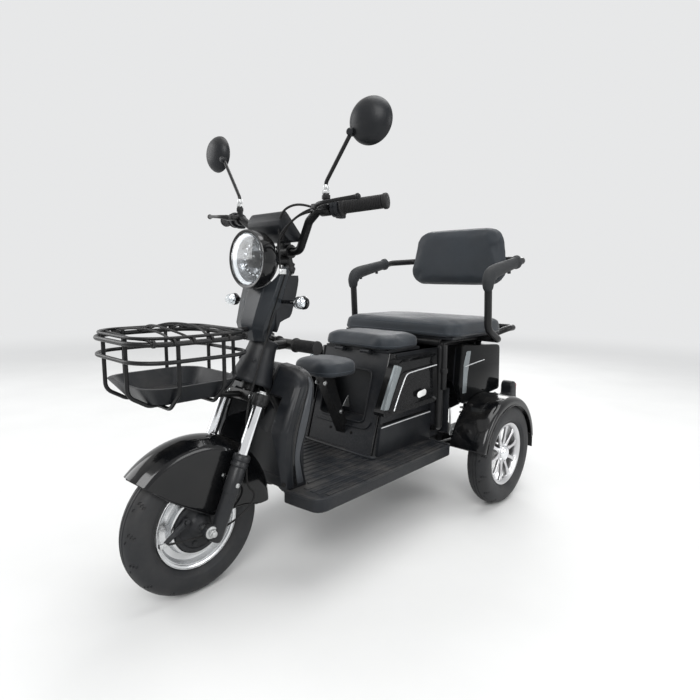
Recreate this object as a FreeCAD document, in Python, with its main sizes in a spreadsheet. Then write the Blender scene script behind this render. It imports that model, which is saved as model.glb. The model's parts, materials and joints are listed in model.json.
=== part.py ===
# Three-wheel electric scooter: one front wheel that steers, two driven rear wheels,
# a child saddle, a lifting rider seat and a fixed passenger bench with armrests.
# Millimetres. +Z is up, -Y is forward, +X is the rider's left, and the ground is z = 0.
# Lengthwise places are given from the rear axle, apart from the sheet's values read by fore() and the
# outlines passed through from_front(), which are given from the front axle.
import FreeCAD
import Part
import math
import os
from FreeCAD import Placement, Rotation, Vector

# Driving dimensions: name, value in millimetres (angles in degrees, counts plain)
SIZES = {
    "rear_axle_y": 469.3,
    "wheelbase": 1027,
    "wheel_radius": 180,
    "tyre_half_width": 38,
    "rim_flange_radius": 110,
    "rim_seat_radius": 101,
    "rim_wall": 4,
    "rear_half_track": 317,
    "spoke_count": 10,
    "spoke_width": 15,
    "spoke_depth": 12,
    "hub_radius": 30,
    "hub_half_width": 30,
    "axle_radius": 7,
    "running_gap": 0.05,
    "rear_shaft_radius": 11,
    "drum_radius": 68,
    "rake_deg": 24,
    "axle_ahead": 35,
    "leg_ahead": 11.5,
    "leg_half_spacing": 77,
    "stanchion_radius": 14.5,
    "lower_leg_radius": 20,
    "lower_leg_top": 195,
    "lower_crown_at": 325,
    "crown_thick": 26,
    "head_tube_bottom": 356,
    "head_tube_top": 500,
    "head_tube_radius": 24,
    "stem_radius": 14,
    "bar_clamp_at": 748,
    "bar_clamp_ahead": 29,
    "bar_radius": 11.1,
    "bar_low_half": 60,
    "bar_rise": 96,
    "bar_end_x": 337,
    "bar_end_back": 34,
    "grip_radius": 16,
    "grip_length": 118,
    "mirror_radius": 54,
    "mirror_x_left": 312,
    "mirror_x_right": 309,
    "mirror_y": 299,
    "mirror_z": 1146,
    "mirror_stem_radius": 5,
    "mirror_turn_left": 14.5,
    "mirror_turn_right": -3,
    "mirror_lift_right": 20,
    "lamp_radius": 76,
    "lamp_y": 179,
    "lamp_z": 836,
    "lamp_depth": 78,
    "ring_radius": 70,
    "lens_radius": 58,
    "signal_x": 149,
    "signal_y": 230,
    "signal_z": 727,
    "signal_radius": 17,
    "signal_lens_length": 28,
    "signal_cap_length": 9,
    "display_width": 138,
    "basket_half_width": 140,
    "basket_front_y": -177,
    "basket_back_y": 101,
    "basket_rim_z": 652,
    "basket_mid_z": 614,
    "basket_floor_z": 515,
    "tray_top_z": 556,
    "basket_wire": 4.5,
    "basket_corner": 78,
    "fender_radius": 224,
    "fender_half_width": 51,
    "fender_wall": 3,
    "floor_half_width": 256,
    "floor_top_z": 244,
    "floor_depth": 34,
    "floor_front_y": 182,
    "floor_back_y": -222,
    "arm_foot_y": 30,
    "shield_half_width": 151,
    "shield_top_z": 552,
    "shield_front_y": 177,
    "recess_half_width": 134,
    "recess_top_z": 425,
    "recess_back_y": 235,
    "tunnel_half_width": 58,
    "tunnel_back_y": 285,
    "box_half_width": 154,
    "box_front_low_y": -505,
    "box_front_top_y": -418,
    "box_back_y": -150,
    "cubby_right": -110,
    "cubby_left": 88,
    "cubby_low_z": 337,
    "cubby_top_z": 500,
    "cubby_back_y": -401,
    "panel_wall": 3,
    "side_panel_depth": 38,
    "tail_x": 232,
    "tail_front_y": -134,
    "tail_back_y": 150,
    "tail_top_z": 568,
    "tail_low_z": 370,
    "rear_fender_radius": 198,
    "rear_fender_out": 358,
    "frame_tube": 14,
    "rear_rail_z": 330,
    "post_radius": 12.5,
    "rider_half_width": 154,
    "rider_front_y": -442,
    "rider_back_y": -241,
    "rider_low_z": 567,
    "rider_thick": 46,
    "hinge_drop": 7,
    "hinge_radius": 6,
    "hinge_pin_radius": 3,
    "bench_half_width": 262,
    "bench_front_y": -234,
    "bench_back_y": 134,
    "bench_low_z": 600,
    "bench_thick": 54,
    "pan_thick": 8,
    "seat_gap": 0.3,
    "back_half_width": 222,
    "back_top_half_width": 203,
    "back_low_z": 764,
    "back_height": 234,
    "back_front_y": 158,
    "back_thick": 42,
    "back_plate": 8,
    "back_corner": 74,
    "back_rake_deg": 4,
    "arm_x": 300,
    "arm_front_y": -98,
    "arm_z": 806,
    "arm_tube": 12.5,
    "arm_pad_radius": 21,
    "grab_y": 262,
    "grab_half_width": 232,
    "grab_z": 604,
    "child_half_width": 92,
    "child_front_y": -640,
    "child_back_y": -482,
    "child_low_z": 498,
    "child_thick": 50,
    "child_bar_y": 315,
    "child_bar_z": 602,
    "child_bar_half": 125,
    "battery_length": 190,
    "battery_width": 250,
    "battery_height": 150,
}


def open_sheet(document):
    """Write the driving dimensions into the sheet, one aliased cell each."""
    table = document.addObject("Spreadsheet::Sheet", "Sizes")
    for row, (name, value) in enumerate(SIZES.items(), start=1):
        table.set(f"A{row}", name)
        table.set(f"B{row}", str(value))
        table.setAlias(f"B{row}", name)
    document.recompute()
    return table


doc = FreeCAD.newDocument("scooter")
sheet = open_sheet(doc)
nodes = []
made = {}


def size(name):
    """A driving dimension, read from the sheet."""
    return float(sheet.get(name))


REAR = size("rear_axle_y")
FRONT = REAR - size("wheelbase")
WHEEL = size("wheel_radius")


def at(x, back, z):
    """A point from its side offset, its distance behind the rear axle and its height."""
    return Vector(x, REAR + back, z)


def fore(name):
    """A lengthwise place that the sheet gives from the front axle, told from the rear axle."""
    return size(name) - size("wheelbase")


def from_front(profile):
    """A side outline drawn from the front axle, told from the rear axle."""
    return [(back - size("wheelbase"), *rest) for back, *rest in profile]


def bind(item, **sizes):
    """Tie properties of an object to the sheet; two underscores stand for a dot."""
    for prop, formula in sizes.items():
        item.setExpression(prop.replace("__", "."), formula)
    return item


def keep(item, label):
    """List a finished object as a sub-part under its own name."""
    item.Label = label
    nodes.append(item)
    return item


def feature(label, shape, clear_of=()):
    """A sub-part whose shape is worked out from the sheet's values, cut where named ones pass through."""
    for other in clear_of:
        shape = shape.cut(made[other])
    made[label] = shape
    item = doc.addObject("Part::Feature", label)
    item.Shape = shape
    item.Placement = shape.Placement
    return keep(item, label)


def fuse(shapes):
    """One shape from several that overlap or touch."""
    whole = shapes[0]
    for shape in shapes[1:]:
        whole = whole.fuse(shape)
    return whole


def both_sides(shape):
    """A left-hand shape and its mirror image on the right."""
    return Part.makeCompound([shape, shape.mirror(Vector(), Vector(1, 0, 0))])


def bar(start, end, radius):
    """A round bar between two points."""
    run = end - start
    return Part.makeCylinder(radius, run.Length, start, run)


def bent_path(points, bend):
    """Straight runs joined by tangent arcs of one bend radius."""
    edges = []
    last = points[0]
    for before, corner, after in zip(points, points[1:], points[2:]):
        arriving = (corner - before).normalize()
        leaving = (after - corner).normalize()
        turn = arriving.getAngle(leaving)
        longest = 0.48 * min((corner - before).Length, (after - corner).Length)
        cut = min(bend * math.tan(turn / 2), longest)
        radius = cut / math.tan(turn / 2)
        start = corner - arriving * cut
        end = corner + leaving * cut
        inward = (leaving - arriving).normalize()
        middle = corner + inward * (radius / math.cos(turn / 2) - radius)
        if (start - last).Length > 1e-3:
            edges.append(Part.LineSegment(last, start).toShape())
        edges.append(Part.Arc(start, middle, end).toShape())
        last = end
    edges.append(Part.LineSegment(last, points[-1]).toShape())
    return Part.Wire(edges)


def tube(points, radius, bend=40):
    """A bent round tube through the given corners."""
    path = bent_path(points, bend)
    run = (points[1] - points[0]).normalize()
    ring = Part.Wire(Part.makeCircle(radius, points[0], run))
    return path.makePipeShell([ring], True, False)


def block(low, high):
    """A box between two opposite corners."""
    run = high - low
    return Part.makeBox(run.x, run.y, run.z, low)


def edges_along(shape, axis):
    """Straight edges of a shape that run along one axis."""
    found = []
    for edge in shape.Edges:
        if len(edge.Vertexes) == 2:
            run = (edge.Vertexes[1].Point - edge.Vertexes[0].Point).normalize()
            if abs(run.dot(axis)) > 0.999:
                found.append(edge)
    return found


def edges_at_height(shape, z):
    """Edges that lie level at one height."""
    return [e for e in shape.Edges if abs(e.BoundBox.ZMin - z) < 0.01 and abs(e.BoundBox.ZMax - z) < 0.01]


def cushion(half_width, front, back, low, thick, corner, roll):
    """A plain pad: rounded in plan, with rolled top and bottom edges."""
    pad = block(at(-half_width, front, low), at(half_width, back, low + thick))
    pad = pad.makeFillet(corner, edges_along(pad, Vector(0, 0, 1)))
    pad = pad.makeFillet(roll, edges_at_height(pad, low + thick))
    return pad.makeFillet(roll * 0.4, edges_at_height(pad, low))


def prism(points, run):
    """A solid pushed out from a flat polygon."""
    return Part.Face(Part.makePolygon(points + points[:1])).extrude(run)


def side_prism(profile, left, right):
    """A solid across the vehicle from a side-view outline of (back, height); a third value bends an arc."""
    face = Part.Face(outline([(at(left, back, z), any(bends)) for back, z, *bends in profile]))
    return face.extrude(Vector(right - left, 0, 0))


def stack(sections):
    """A straight-sided solid through level outlines, each a list of points at one height."""
    return Part.makeLoft([Part.makePolygon(ring + ring[:1]) for ring in sections], True, True)


def outline(spots):
    """A closed wire through (point, bends) pairs: where bends is true, an arc passes through the point."""
    spots = spots + spots[:1]
    edges = []
    number = 0
    while number < len(spots) - 1:
        start = spots[number][0]
        point, bends = spots[number + 1]
        if bends:
            number += 1
            edges.append(Part.Arc(start, point, spots[number + 1][0]).toShape())
        else:
            edges.append(Part.LineSegment(start, point).toShape())
        number += 1
    return Part.Wire(edges)


def turned(profile, centre, sweep=360, start=0):
    """Turn an (x, radius) outline about a crosswise line; a third value marks the middle of an arc.

    Angles run from forward, up and back.
    """
    face = Part.Face(outline([(centre + Vector(x, -radius, 0), any(bends)) for x, radius, *bends in profile]))
    face.rotate(centre, Vector(-1, 0, 0), start)
    return face.revolve(centre, Vector(-1, 0, 0), sweep)


# Steering frame: x across, ahead square to the steering line, and up along that line
RAKE = math.radians(size("rake_deg"))
UP = Vector(0, math.sin(RAKE), math.cos(RAKE))
AHEAD = Vector(0, -math.cos(RAKE), math.sin(RAKE))
FRONT_AXLE = Vector(0, FRONT, WHEEL)
STEER_FOOT = FRONT_AXLE - AHEAD * size("axle_ahead")


def steer(x, ahead, up):
    """A point in the steering frame."""
    return STEER_FOOT + Vector(x, 0, 0) + AHEAD * ahead + UP * up


def wheel_pair(name, centre, rim_solid):
    """A tyre and its rim, both turned about the axle."""
    half = size("tyre_half_width")
    seat = size("rim_seat_radius")
    crown = [(-half, 0.80), (-0.93 * half, 0.915), (-0.66 * half, 0.975), (-0.25 * half, 1.0)]
    outer = [(x, WHEEL * share) for x, share in crown]
    outer += [(-x, radius) for x, radius in reversed(outer)]
    bead = 0.62 * half - 0.2
    lip = size("rim_flange_radius") + 0.5
    profile = [(-bead, seat + 0.3), (-bead, lip), (-0.9 * half, 0.66 * WHEEL)] + outer
    profile += [(0.9 * half, 0.66 * WHEEL), (bead, lip), (bead, seat + 0.3)]
    feature(f"{name[0]}_tyre{name[1]}", turned(profile, centre))
    feature(f"{name[0]}_rim{name[1]}", rim_solid)


def rim_barrel(centre):
    """The channel that carries the tyre, open in the middle."""
    half = 0.62 * size("tyre_half_width")
    seat = size("rim_seat_radius")
    flange = size("rim_flange_radius")
    wall = size("rim_wall")
    lip = half + wall
    profile = [(-half, seat), (half, seat), (half, flange), (lip, flange), (lip, seat - wall)]
    profile += [(-lip, seat - wall), (-lip, flange), (-half, flange)]
    return turned(profile, centre)


def make_rear_rim(centre, outward):
    """A ten-spoke cast rim with its hub."""
    hub_half = size("hub_half_width")
    bore_radius = size("rear_shaft_radius")
    hub = turned([(-hub_half, bore_radius), (hub_half, bore_radius), (hub_half, size("hub_radius")),
                  (-hub_half, size("hub_radius"))], centre)
    reach = size("rim_seat_radius") - 1.5
    spoke = Part.makeBox(size("spoke_depth"), size("spoke_width"), reach - 20)
    spoke.translate(Vector(-size("spoke_depth") / 2, -size("spoke_width") / 2, 20))
    spokes = []
    for number in range(int(size("spoke_count"))):
        arm = spoke.copy()
        arm.rotate(Vector(), Vector(1, 0, 0), 360 * number / size("spoke_count"))
        arm.translate(centre + Vector(outward * 10, 0, 0))
        spokes.append(arm)
    bore = bar(centre - Vector(60, 0, 0), centre + Vector(60, 0, 0), bore_radius)
    return fuse([rim_barrel(centre), hub] + spokes).cut(bore)


def make_front_rim(centre):
    """A deep-dished rim with a brake drum on its left."""
    hub_half = size("hub_half_width")
    bore = size("axle_radius") + size("running_gap")
    seat = size("rim_seat_radius")
    drum = size("drum_radius")
    dish = [(10, bore), (-hub_half, bore), (-hub_half, size("hub_radius")), (-6, size("hub_radius") + 8),
            (-6, seat - 1), (6, seat - 1), (6, drum + 6), (hub_half, drum + 6), (hub_half, drum), (10, drum)]
    return fuse([rim_barrel(centre), turned(dish, centre)])


def make_wheels():
    wheel_pair(("front", ""), FRONT_AXLE, make_front_rim(FRONT_AXLE))
    for side, sign in (("_left", 1), ("_right", -1)):
        centre = at(sign * size("rear_half_track"), 0, WHEEL)
        wheel_pair(("rear", side), centre, make_rear_rim(centre, sign))


def make_fork():
    ahead = size("leg_ahead")
    leg_x = size("leg_half_spacing")
    crown_at = size("lower_crown_at")
    thick = size("crown_thick")
    crown_top = crown_at + thick
    stem_top = size("bar_clamp_at")
    parts = [bar(steer(0, 0, crown_at), steer(0, 0, stem_top - 20), size("stem_radius"))]
    for x in (-leg_x, leg_x):
        parts.append(bar(steer(x, ahead, crown_at), steer(x, ahead, crown_top), size("stanchion_radius") + 7))
    bridge = Part.makeBox(2 * leg_x, 34, thick, Vector(-leg_x, -17, 0))
    bridge.Placement = Placement(steer(0, ahead / 2, crown_at), Rotation(Vector(1, 0, 0), -size("rake_deg")))
    parts.append(bridge)
    clamp = bar(steer(-26, size("bar_clamp_ahead"), stem_top), steer(26, size("bar_clamp_ahead"), stem_top), 19)
    neck = bar(steer(0, 0, stem_top - 34), steer(0, size("bar_clamp_ahead"), stem_top), 15)
    bore = bar(steer(-40, size("bar_clamp_ahead"), stem_top), steer(40, size("bar_clamp_ahead"), stem_top),
               size("bar_radius"))
    lamp_back = fore("lamp_y") + size("lamp_depth")
    bracket = bar(at(0, lamp_back, size("lamp_z")), at(0, lamp_back + 66, size("lamp_z")), 12)
    stem = fuse(parts + [clamp, neck, bracket]).cut(bore)
    for x in (-leg_x, leg_x):
        stem = stem.cut(bar(steer(x, ahead, crown_at - 1), steer(x, ahead, crown_top - 6),
                            size("stanchion_radius")))
    feature("fork_stem", stem)
    chrome = [bar(steer(x, ahead, 60), steer(x, ahead, crown_top - 6), size("stanchion_radius"))
              for x in (-leg_x, leg_x)]
    feature("fork_stanchions", Part.makeCompound(chrome))
    lower = []
    for x in (-leg_x, leg_x):
        leg = bar(steer(x, ahead, -20), steer(x, ahead, size("lower_leg_top")), size("lower_leg_radius"))
        seal = bar(steer(x, ahead, size("lower_leg_top") - 16), steer(x, ahead, size("lower_leg_top")),
                   size("lower_leg_radius") + 2)
        lug = bar(steer(x - 7, size("axle_ahead"), 0), steer(x + 7, size("axle_ahead"), 0), 17)
        whole = fuse([leg, seal, lug])
        whole = whole.cut(bar(steer(x, ahead, 60), steer(x, ahead, size("lower_leg_top") + 1),
                              size("stanchion_radius")))
        whole = whole.cut(bar(steer(x - 30, size("axle_ahead"), 0), steer(x + 30, size("axle_ahead"), 0),
                              size("axle_radius")))
        lower.append(whole)
    feature("fork_lowers", Part.makeCompound(lower))


def make_front_axle():
    axle = doc.addObject("Part::Cylinder", "axle_rod")
    reach = size("leg_half_spacing") + 24
    bind(axle, Radius="Sizes.axle_radius", Height="2 * (Sizes.leg_half_spacing + 24)")
    axle.Placement = Placement(FRONT_AXLE - Vector(reach, 0, 0), Rotation(Vector(0, 1, 0), 90))
    keep(axle, "front_axle")
    side = size("hub_half_width")
    radius = size("drum_radius") - 1
    plate = bar(FRONT_AXLE + Vector(side - 18, 0, 0), FRONT_AXLE + Vector(side + 6, 0, 0), radius)
    spacer = bar(FRONT_AXLE + Vector(side, 0, 0), FRONT_AXLE + Vector(side + 20, 0, 0), 16)
    arm = block(FRONT_AXLE + Vector(side + 6, -100, -12), FRONT_AXLE + Vector(side + 11, -20, 2))
    bore = bar(FRONT_AXLE + Vector(side - 40, 0, 0), FRONT_AXLE + Vector(side + 40, 0, 0), size("axle_radius"))
    feature("brake_plate", fuse([plate, spacer, arm]).cut(bore))


def make_front_fender():
    """A rounded crown with deep side skirts, open in front and behind, carried by the fork legs."""
    radius = size("fender_radius")
    half = size("fender_half_width")
    wall = size("fender_wall")
    shoulder = radius - 30
    inside = half - wall
    outer = [(-half, 4), (-half, shoulder), (0, radius, "crown"), (half, shoulder), (half, 4)]
    outer = turned(outer, FRONT_AXLE)
    inner = [(-inside, 1), (-inside, shoulder), (0, radius - wall, "crown"), (inside, shoulder), (inside, 1)]
    inner = turned(inner, FRONT_AXLE)
    skirt = [(-240, 215), (-183, 179), (-138, 141), (-89, 99), (-34, 61), (23, 25), (60, 22), (120, 22),
             (172, 6), (250, 6), (250, 260), (-240, 260)]
    mask = prism([FRONT_AXLE + Vector(-80, back, up) for back, up in skirt], Vector(160, 0, 0))
    lugs = [bar(steer(s * (half - 2), size("leg_ahead"), 120),
                steer(s * (size("leg_half_spacing") - size("lower_leg_radius") + 4), size("leg_ahead"), 120), 9)
            for s in (-1, 1)]
    feature("front_fender", fuse([outer.cut(inner).common(mask)] + lugs), ("fork_lowers",))


def make_handlebar():
    low = steer(0, size("bar_clamp_ahead"), size("bar_clamp_at"))
    half = size("bar_low_half")
    rise = size("bar_rise")
    end_x = size("bar_end_x")
    right = [low, low + Vector(half, 0, 0), low + Vector(half + 62, -22, rise - 24),
             low + Vector(half + 100, -26, rise), low + Vector(end_x - size("grip_length"), -8, rise + 4),
             low + Vector(end_x - 2, size("bar_end_back"), rise + 14)]
    left = [Vector(-p.x, p.y, p.z) for p in reversed(right[1:])]
    feature("handlebar", tube(left + right[1:], size("bar_radius"), 34))
    start = right[-2]
    end = right[-1]
    run = (end - start).normalize()
    outer = bar(start + run * 6, end + run * 3, size("grip_radius"))
    grip = outer.cut(bar(start, end, size("bar_radius")))
    feature("grips", both_sides(grip))
    perch_at = right[-3] + (right[-2] - right[-3]) * 0.36
    way = (right[-2] - right[-3]).normalize()
    perch = bar(perch_at - way * 14, perch_at + way * 14, 18)
    boss = bar(perch_at, perch_at + Vector(0, 0, 39), 8)
    lever_root = perch_at + Vector(0, -20, 4)
    pivot = bar(perch_at, lever_root + Vector(0, -12, 0), 9)
    lever_tip = lever_root + Vector(130, -2, 12)
    lever = tube([lever_root + Vector(0, -8, 0), lever_root + Vector(46, -26, 4), lever_tip], 5, 40)
    ball = Part.makeSphere(7.5, lever_tip)
    hand = fuse([perch, boss, pivot, lever, ball]).cut(bar(perch_at - way * 40, perch_at + way * 40,
                                                           size("bar_radius")))
    feature("brake_levers", both_sides(hand))
    switch_at = right[-2] - way * 10
    switch = bar(switch_at - way * 9, switch_at + way * 9, 21)
    switch = switch.fuse(block(switch_at + Vector(-8, -8, -26), switch_at + Vector(8, 18, 0)))
    switch = switch.cut(bar(switch_at - way * 40, switch_at + way * 40, size("bar_radius")))
    feature("bar_switches", both_sides(switch))
    return perch_at + Vector(0, 0, 39)


def mirror_side(base, x, turn, lift):
    """A left-hand mirror as two shapes: the shell on its kinked stem, and the glass in its rear face."""
    radius = size("mirror_radius")
    centre = at(x, fore("mirror_y"), size("mirror_z") + lift)
    facing = Rotation(Vector(0, 0, 1), turn)
    joint = centre + facing.multVec(Vector(-0.8 * radius, -6, -0.44 * radius))
    ahead = facing.multVec(Vector(0, -10, 0))
    clamp = bar(joint + ahead, joint - ahead, 9)
    stem = tube([base, base + Vector(0, 0, 26), joint], size("mirror_stem_radius"), 18)
    rim = radius - 4
    profile = [(0, -20), (0.34 * radius, -20), (0.68 * radius, -13), (0.9 * radius, -3), (radius, 6),
               (radius, 10), (rim, 10), (rim, 6), (0, 6)]
    points = [centre + Vector(across, back, 0) for across, back in profile]
    shell = Part.Face(Part.makePolygon(points + points[:1])).revolve(centre, Vector(0, 1, 0), 360)
    glass = bar(centre + Vector(0, 6, 0), centre + Vector(0, 9, 0), rim)
    shell.rotate(centre, Vector(0, 0, 1), turn)
    glass.rotate(centre, Vector(0, 0, 1), turn)
    return fuse([shell, clamp, stem]), glass


def make_mirrors(base):
    left = mirror_side(base, size("mirror_x_left"), size("mirror_turn_left"), 0)
    right = mirror_side(base, size("mirror_x_right"), size("mirror_turn_right"), size("mirror_lift_right"))
    right = [shape.mirror(Vector(), Vector(1, 0, 0)) for shape in right]
    feature("mirrors", Part.makeCompound([left[0], right[0]]))
    feature("mirror_glass", Part.makeCompound([left[1], right[1]]))


def make_headlamp():
    centre = at(0, fore("lamp_y"), size("lamp_z"))
    radius = size("lamp_radius")
    depth = size("lamp_depth")
    back = Vector(0, 1, 0)
    bowl = Part.makeCylinder(radius, depth * 0.45, centre, back)
    cone = Part.makeCone(radius, radius * 0.66, depth * 0.55, centre + back * depth * 0.45, back)
    pocket = Part.makeCylinder(size("ring_radius"), 17, centre - Vector(0, 1, 0), Vector(0, 1, 0))
    feature("headlamp_housing", fuse([bowl, cone]).cut(pocket))
    seat = Placement(centre + Vector(0, 16, 0), Rotation(Vector(1, 0, 0), 90))
    disc = doc.addObject("Part::Cylinder", "ring_disc")
    bind(disc, Radius="Sizes.ring_radius")
    disc.Height = 12
    opening = doc.addObject("Part::Cylinder", "ring_opening")
    bind(opening, Radius="Sizes.lens_radius")
    opening.Height = 12
    ring = doc.addObject("Part::Cut", "lamp_ring")
    ring.Base = disc
    ring.Tool = opening
    ring.Placement = seat
    keep(ring, "headlamp_ring")
    lens = doc.addObject("Part::Cylinder", "lamp_lens")
    bind(lens, Radius="Sizes.lens_radius")
    lens.Height = 10
    lens.Placement = Placement(centre + Vector(0, 16, 0), Rotation(Vector(1, 0, 0), 90))
    keep(lens, "headlamp_lens")


# Nose shell, low to high: height, front, half-width of the flat front, full half-width, back
NOSE_SECTIONS = [(622, 184, 20, 46, 221), (665, 174, 27, 64, 235), (775, 212, 33, 77, 261),
                 (812, 225, 35, 80, 273)]
# Rear cowl behind it, from the side: behind the front axle, height
COWL_OUTLINE = [(227, 790), (263, 822), (301, 798), (300, 773), (290, 738), (279, 698), (270, 684), (237, 672),
                (227, 646), (215, 630)]
COWL_HALF_WIDTH = 68


def make_nose():
    """The fairing below the lamp: a tapered front shell and a cowl round the steering stem."""
    rings = []
    for z, front, flat, half, back in NOSE_SECTIONS:
        side = [(flat, front), (half, front + 9), (half - 2, back - 8), (half - 12, back)]
        side = [(x, y - size("wheelbase")) for x, y in side]
        rings.append([at(x, y, z) for x, y in side] + [at(-x, y, z) for x, y in reversed(side)])
    cowl = side_prism(from_front(COWL_OUTLINE), -COWL_HALF_WIDTH, COWL_HALF_WIDTH)
    stem = bar(steer(0, 0, 400), steer(0, 0, 800), size("stem_radius") + 0.5)
    ahead = at(0, fore("lamp_y") - 60, size("lamp_z"))
    lamp = bar(ahead, ahead + Vector(0, 200, 0), size("lamp_radius") + size("seat_gap"))
    bell = Part.makeCone(67, 41, 140, steer(0, 0, size("head_tube_bottom") + 16), UP)
    feature("nose_fairing", stack(rings).fuse(cowl).cut(stem).cut(lamp).cut(bell))


def make_signals():
    """Bullet lamps on short stalks, the clear lens forward and the dark cap behind."""
    radius = size("signal_radius")
    centre = at(size("signal_x"), fore("signal_y"), size("signal_z"))
    seam = centre + Vector(0, (size("signal_lens_length") - size("signal_cap_length")) / 2, 0)
    back = seam + Vector(0, size("signal_cap_length"), 0)
    stalk_at = seam + Vector(0, size("signal_cap_length") / 2, 0)
    stalk = bar(stalk_at - Vector(size("signal_x") - 50, 0, 0), stalk_at, size("signal_cap_length") / 2 - 0.5)
    feature("turn_signals", both_sides(bar(seam, back, radius).fuse(stalk)), ("nose_fairing",))
    clear = radius - 0.5
    tip = seam - Vector(0, size("signal_lens_length") - clear, 0)
    feature("signal_lenses", both_sides(bar(seam, tip, clear).fuse(
        Part.makeSphere(clear, tip, Vector(0, -1, 0), 0, 90, 360))))


def make_display():
    half = size("display_width") / 2
    profile = from_front([(241, 950), (255, 962), (315, 896), (305, 884), (267, 886), (235, 922)])
    foot = from_front([(292, 892), (315, 892), (321, 870), (294, 870)])
    screen = side_prism(profile, -half, half).fuse(side_prism(foot, -15, 15))
    feature("display_panel", screen, ("fork_stem", "handlebar"))


def level_path(half_width, front, back, z, corner):
    """A closed rounded path at one height, from the middle of its back."""
    points = [at(0, back, z), at(half_width, back, z), at(half_width, front, z), at(-half_width, front, z),
              at(-half_width, back, z), at(0, back, z)]
    return bent_path(points, corner)


def level_ring(half_width, front, back, z, corner, radius):
    """A closed rounded loop of wire at one height."""
    ring = Part.Wire(Part.makeCircle(radius, at(0, back, z), Vector(1, 0, 0)))
    return level_path(half_width, front, back, z, corner).makePipeShell([ring], True, False)


def make_basket():
    half = size("basket_half_width")
    front = fore("basket_front_y")
    back = fore("basket_back_y")
    rim = size("basket_rim_z")
    middle = size("basket_mid_z")
    floor = size("basket_floor_z")
    wire = size("basket_wire")
    corner = size("basket_corner")
    beside = 1.5 * wire
    rings = [level_ring(half, front, back, rim, corner, wire + 1),
             level_ring(half - 4, front + 4, back - 4, rim + 12, corner, wire - 1),
             level_ring(half, front, back, middle, corner, wire)]
    posts = []
    for x in (-half * 0.4, half * 0.4):
        posts.append(tube([at(x, front + beside, rim + 13), at(x, front + beside, floor + 22),
                           at(x, front + 52, floor - 6), at(x, back - 40, floor - 6),
                           at(x, back - beside, floor + 22), at(x, back - beside, rim + 13)], wire, 28))
    for back_at in (front + 84, back - 84):
        low = floor - 6 - beside
        posts.append(tube([at(-half + beside, back_at, rim + 13), at(-half + beside, back_at, floor + 30),
                           at(-half + 52, back_at, low), at(half - 52, back_at, low),
                           at(half - beside, back_at, floor + 30), at(half - beside, back_at, rim + 13)],
                          wire, 28))
    hook = bar(at(0, back + 2, rim), at(0, back + 84, rim + 2), wire + 2)
    strut = bar(at(0, back - 84, floor - 6 - beside), steer(0, 24, 338), 8)
    feature("basket_frame", fuse(rings + posts + [hook, strut]), ("fork_stem", "nose_fairing"))
    low = floor - 6 + wire + size("seat_gap")
    wall = size("panel_wall")
    dish = []
    for inset, lift in ((0, 0), (wall, wall)):
        foot = level_path(half - 48 - inset, front + 50 + inset, back - 50 - inset, low + lift, 50 - inset)
        lip = level_path(half - 16 - inset, front + 18 + inset, back - 18 - inset, size("tray_top_z") + 2 * lift,
                         62 - inset)
        dish.append(Part.makeLoft([foot, lip], True, True))
    feature("basket_tray", dish[0].cut(dish[1]), ("basket_frame",))


def make_frame():
    tube_radius = size("frame_tube")
    rail_z = size("floor_top_z") - size("floor_depth") - tube_radius - 2
    head_low = steer(0, 0, size("head_tube_bottom"))
    head_top = steer(0, 0, size("head_tube_top"))
    head = bar(head_low, head_top, size("head_tube_radius"))
    parts = [head]
    down_y = fore("recess_back_y") + size("panel_wall") + tube_radius + 3
    for x in (-38, 38):
        parts.append(tube([steer(x * 0.4, -6, size("head_tube_bottom") + 60), at(x, down_y, 430),
                           at(x, down_y, rail_z), at(x, down_y + 70, rail_z)], tube_radius, 50))
    hollow = bar(head_low - UP * 5, head_top + UP * 5, size("stem_radius") + size("running_gap"))
    feature("head_frame", fuse(parts).cut(hollow))
    parts = []
    rear_rail = size("rear_rail_z")
    rear_cross = -200
    front_cross = down_y + 82
    for x in (-70, 70):
        parts.append(tube([at(x, down_y + 40, rail_z), at(x, rear_cross, rail_z), at(x, -120, rear_rail),
                           at(x, 140, rear_rail)], tube_radius, 50))
    for back in (front_cross, (front_cross + rear_cross) / 2, rear_cross - 25):
        parts.append(bar(at(-150, back, rail_z), at(150, back, rail_z), tube_radius - 2))
    parts.append(bar(at(-70, 120, rear_rail), at(70, 120, rear_rail), tube_radius - 2))
    feature("floor_frame", fuse(parts), ("head_frame",))
    post = size("post_radius")
    seat_rail = size("bench_low_z") - size("pan_thick") - post
    parts = []
    for x in (-190, 190):
        parts.append(tube([at(x, -206, 290), at(x, -206, seat_rail), at(x, 128, seat_rail)], post, 26))
        parts.append(bar(at(x, -206, 290), at(x * 0.4, -160, rear_rail - 80), tube_radius - 3))
        parts.append(bar(at(x, 60, seat_rail), at(x * 0.4, 90, rear_rail), tube_radius - 2))
    for back in (-206, 60, 128):
        parts.append(bar(at(-190, back, seat_rail), at(190, back, seat_rail), post))
    feature("seat_frame", fuse(parts), ("floor_frame",))
    outer = Part.makeCone(60, 36, 120, steer(0, 0, size("head_tube_bottom") + 16), UP)
    inner = Part.makeCone(57, 33, 120.1, steer(0, 0, size("head_tube_bottom") + 16) - UP * 0.05, UP)
    feature("neck_cover", outer.cut(inner), ("head_frame",))


# Leg shield, low to high: share of its height, share of its half-width, front and back from its foot's front
SHIELD_SECTIONS = [(0, 0.96, 0, 74), (0.30, 1, -8, 52), (0.51, 1, -1, 76), (0.69, 0.99, 22, 92),
                   (0.86, 0.95, 50, 104), (0.95, 0.79, 64, 108), (1, 0.48, 76, 110)]


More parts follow.
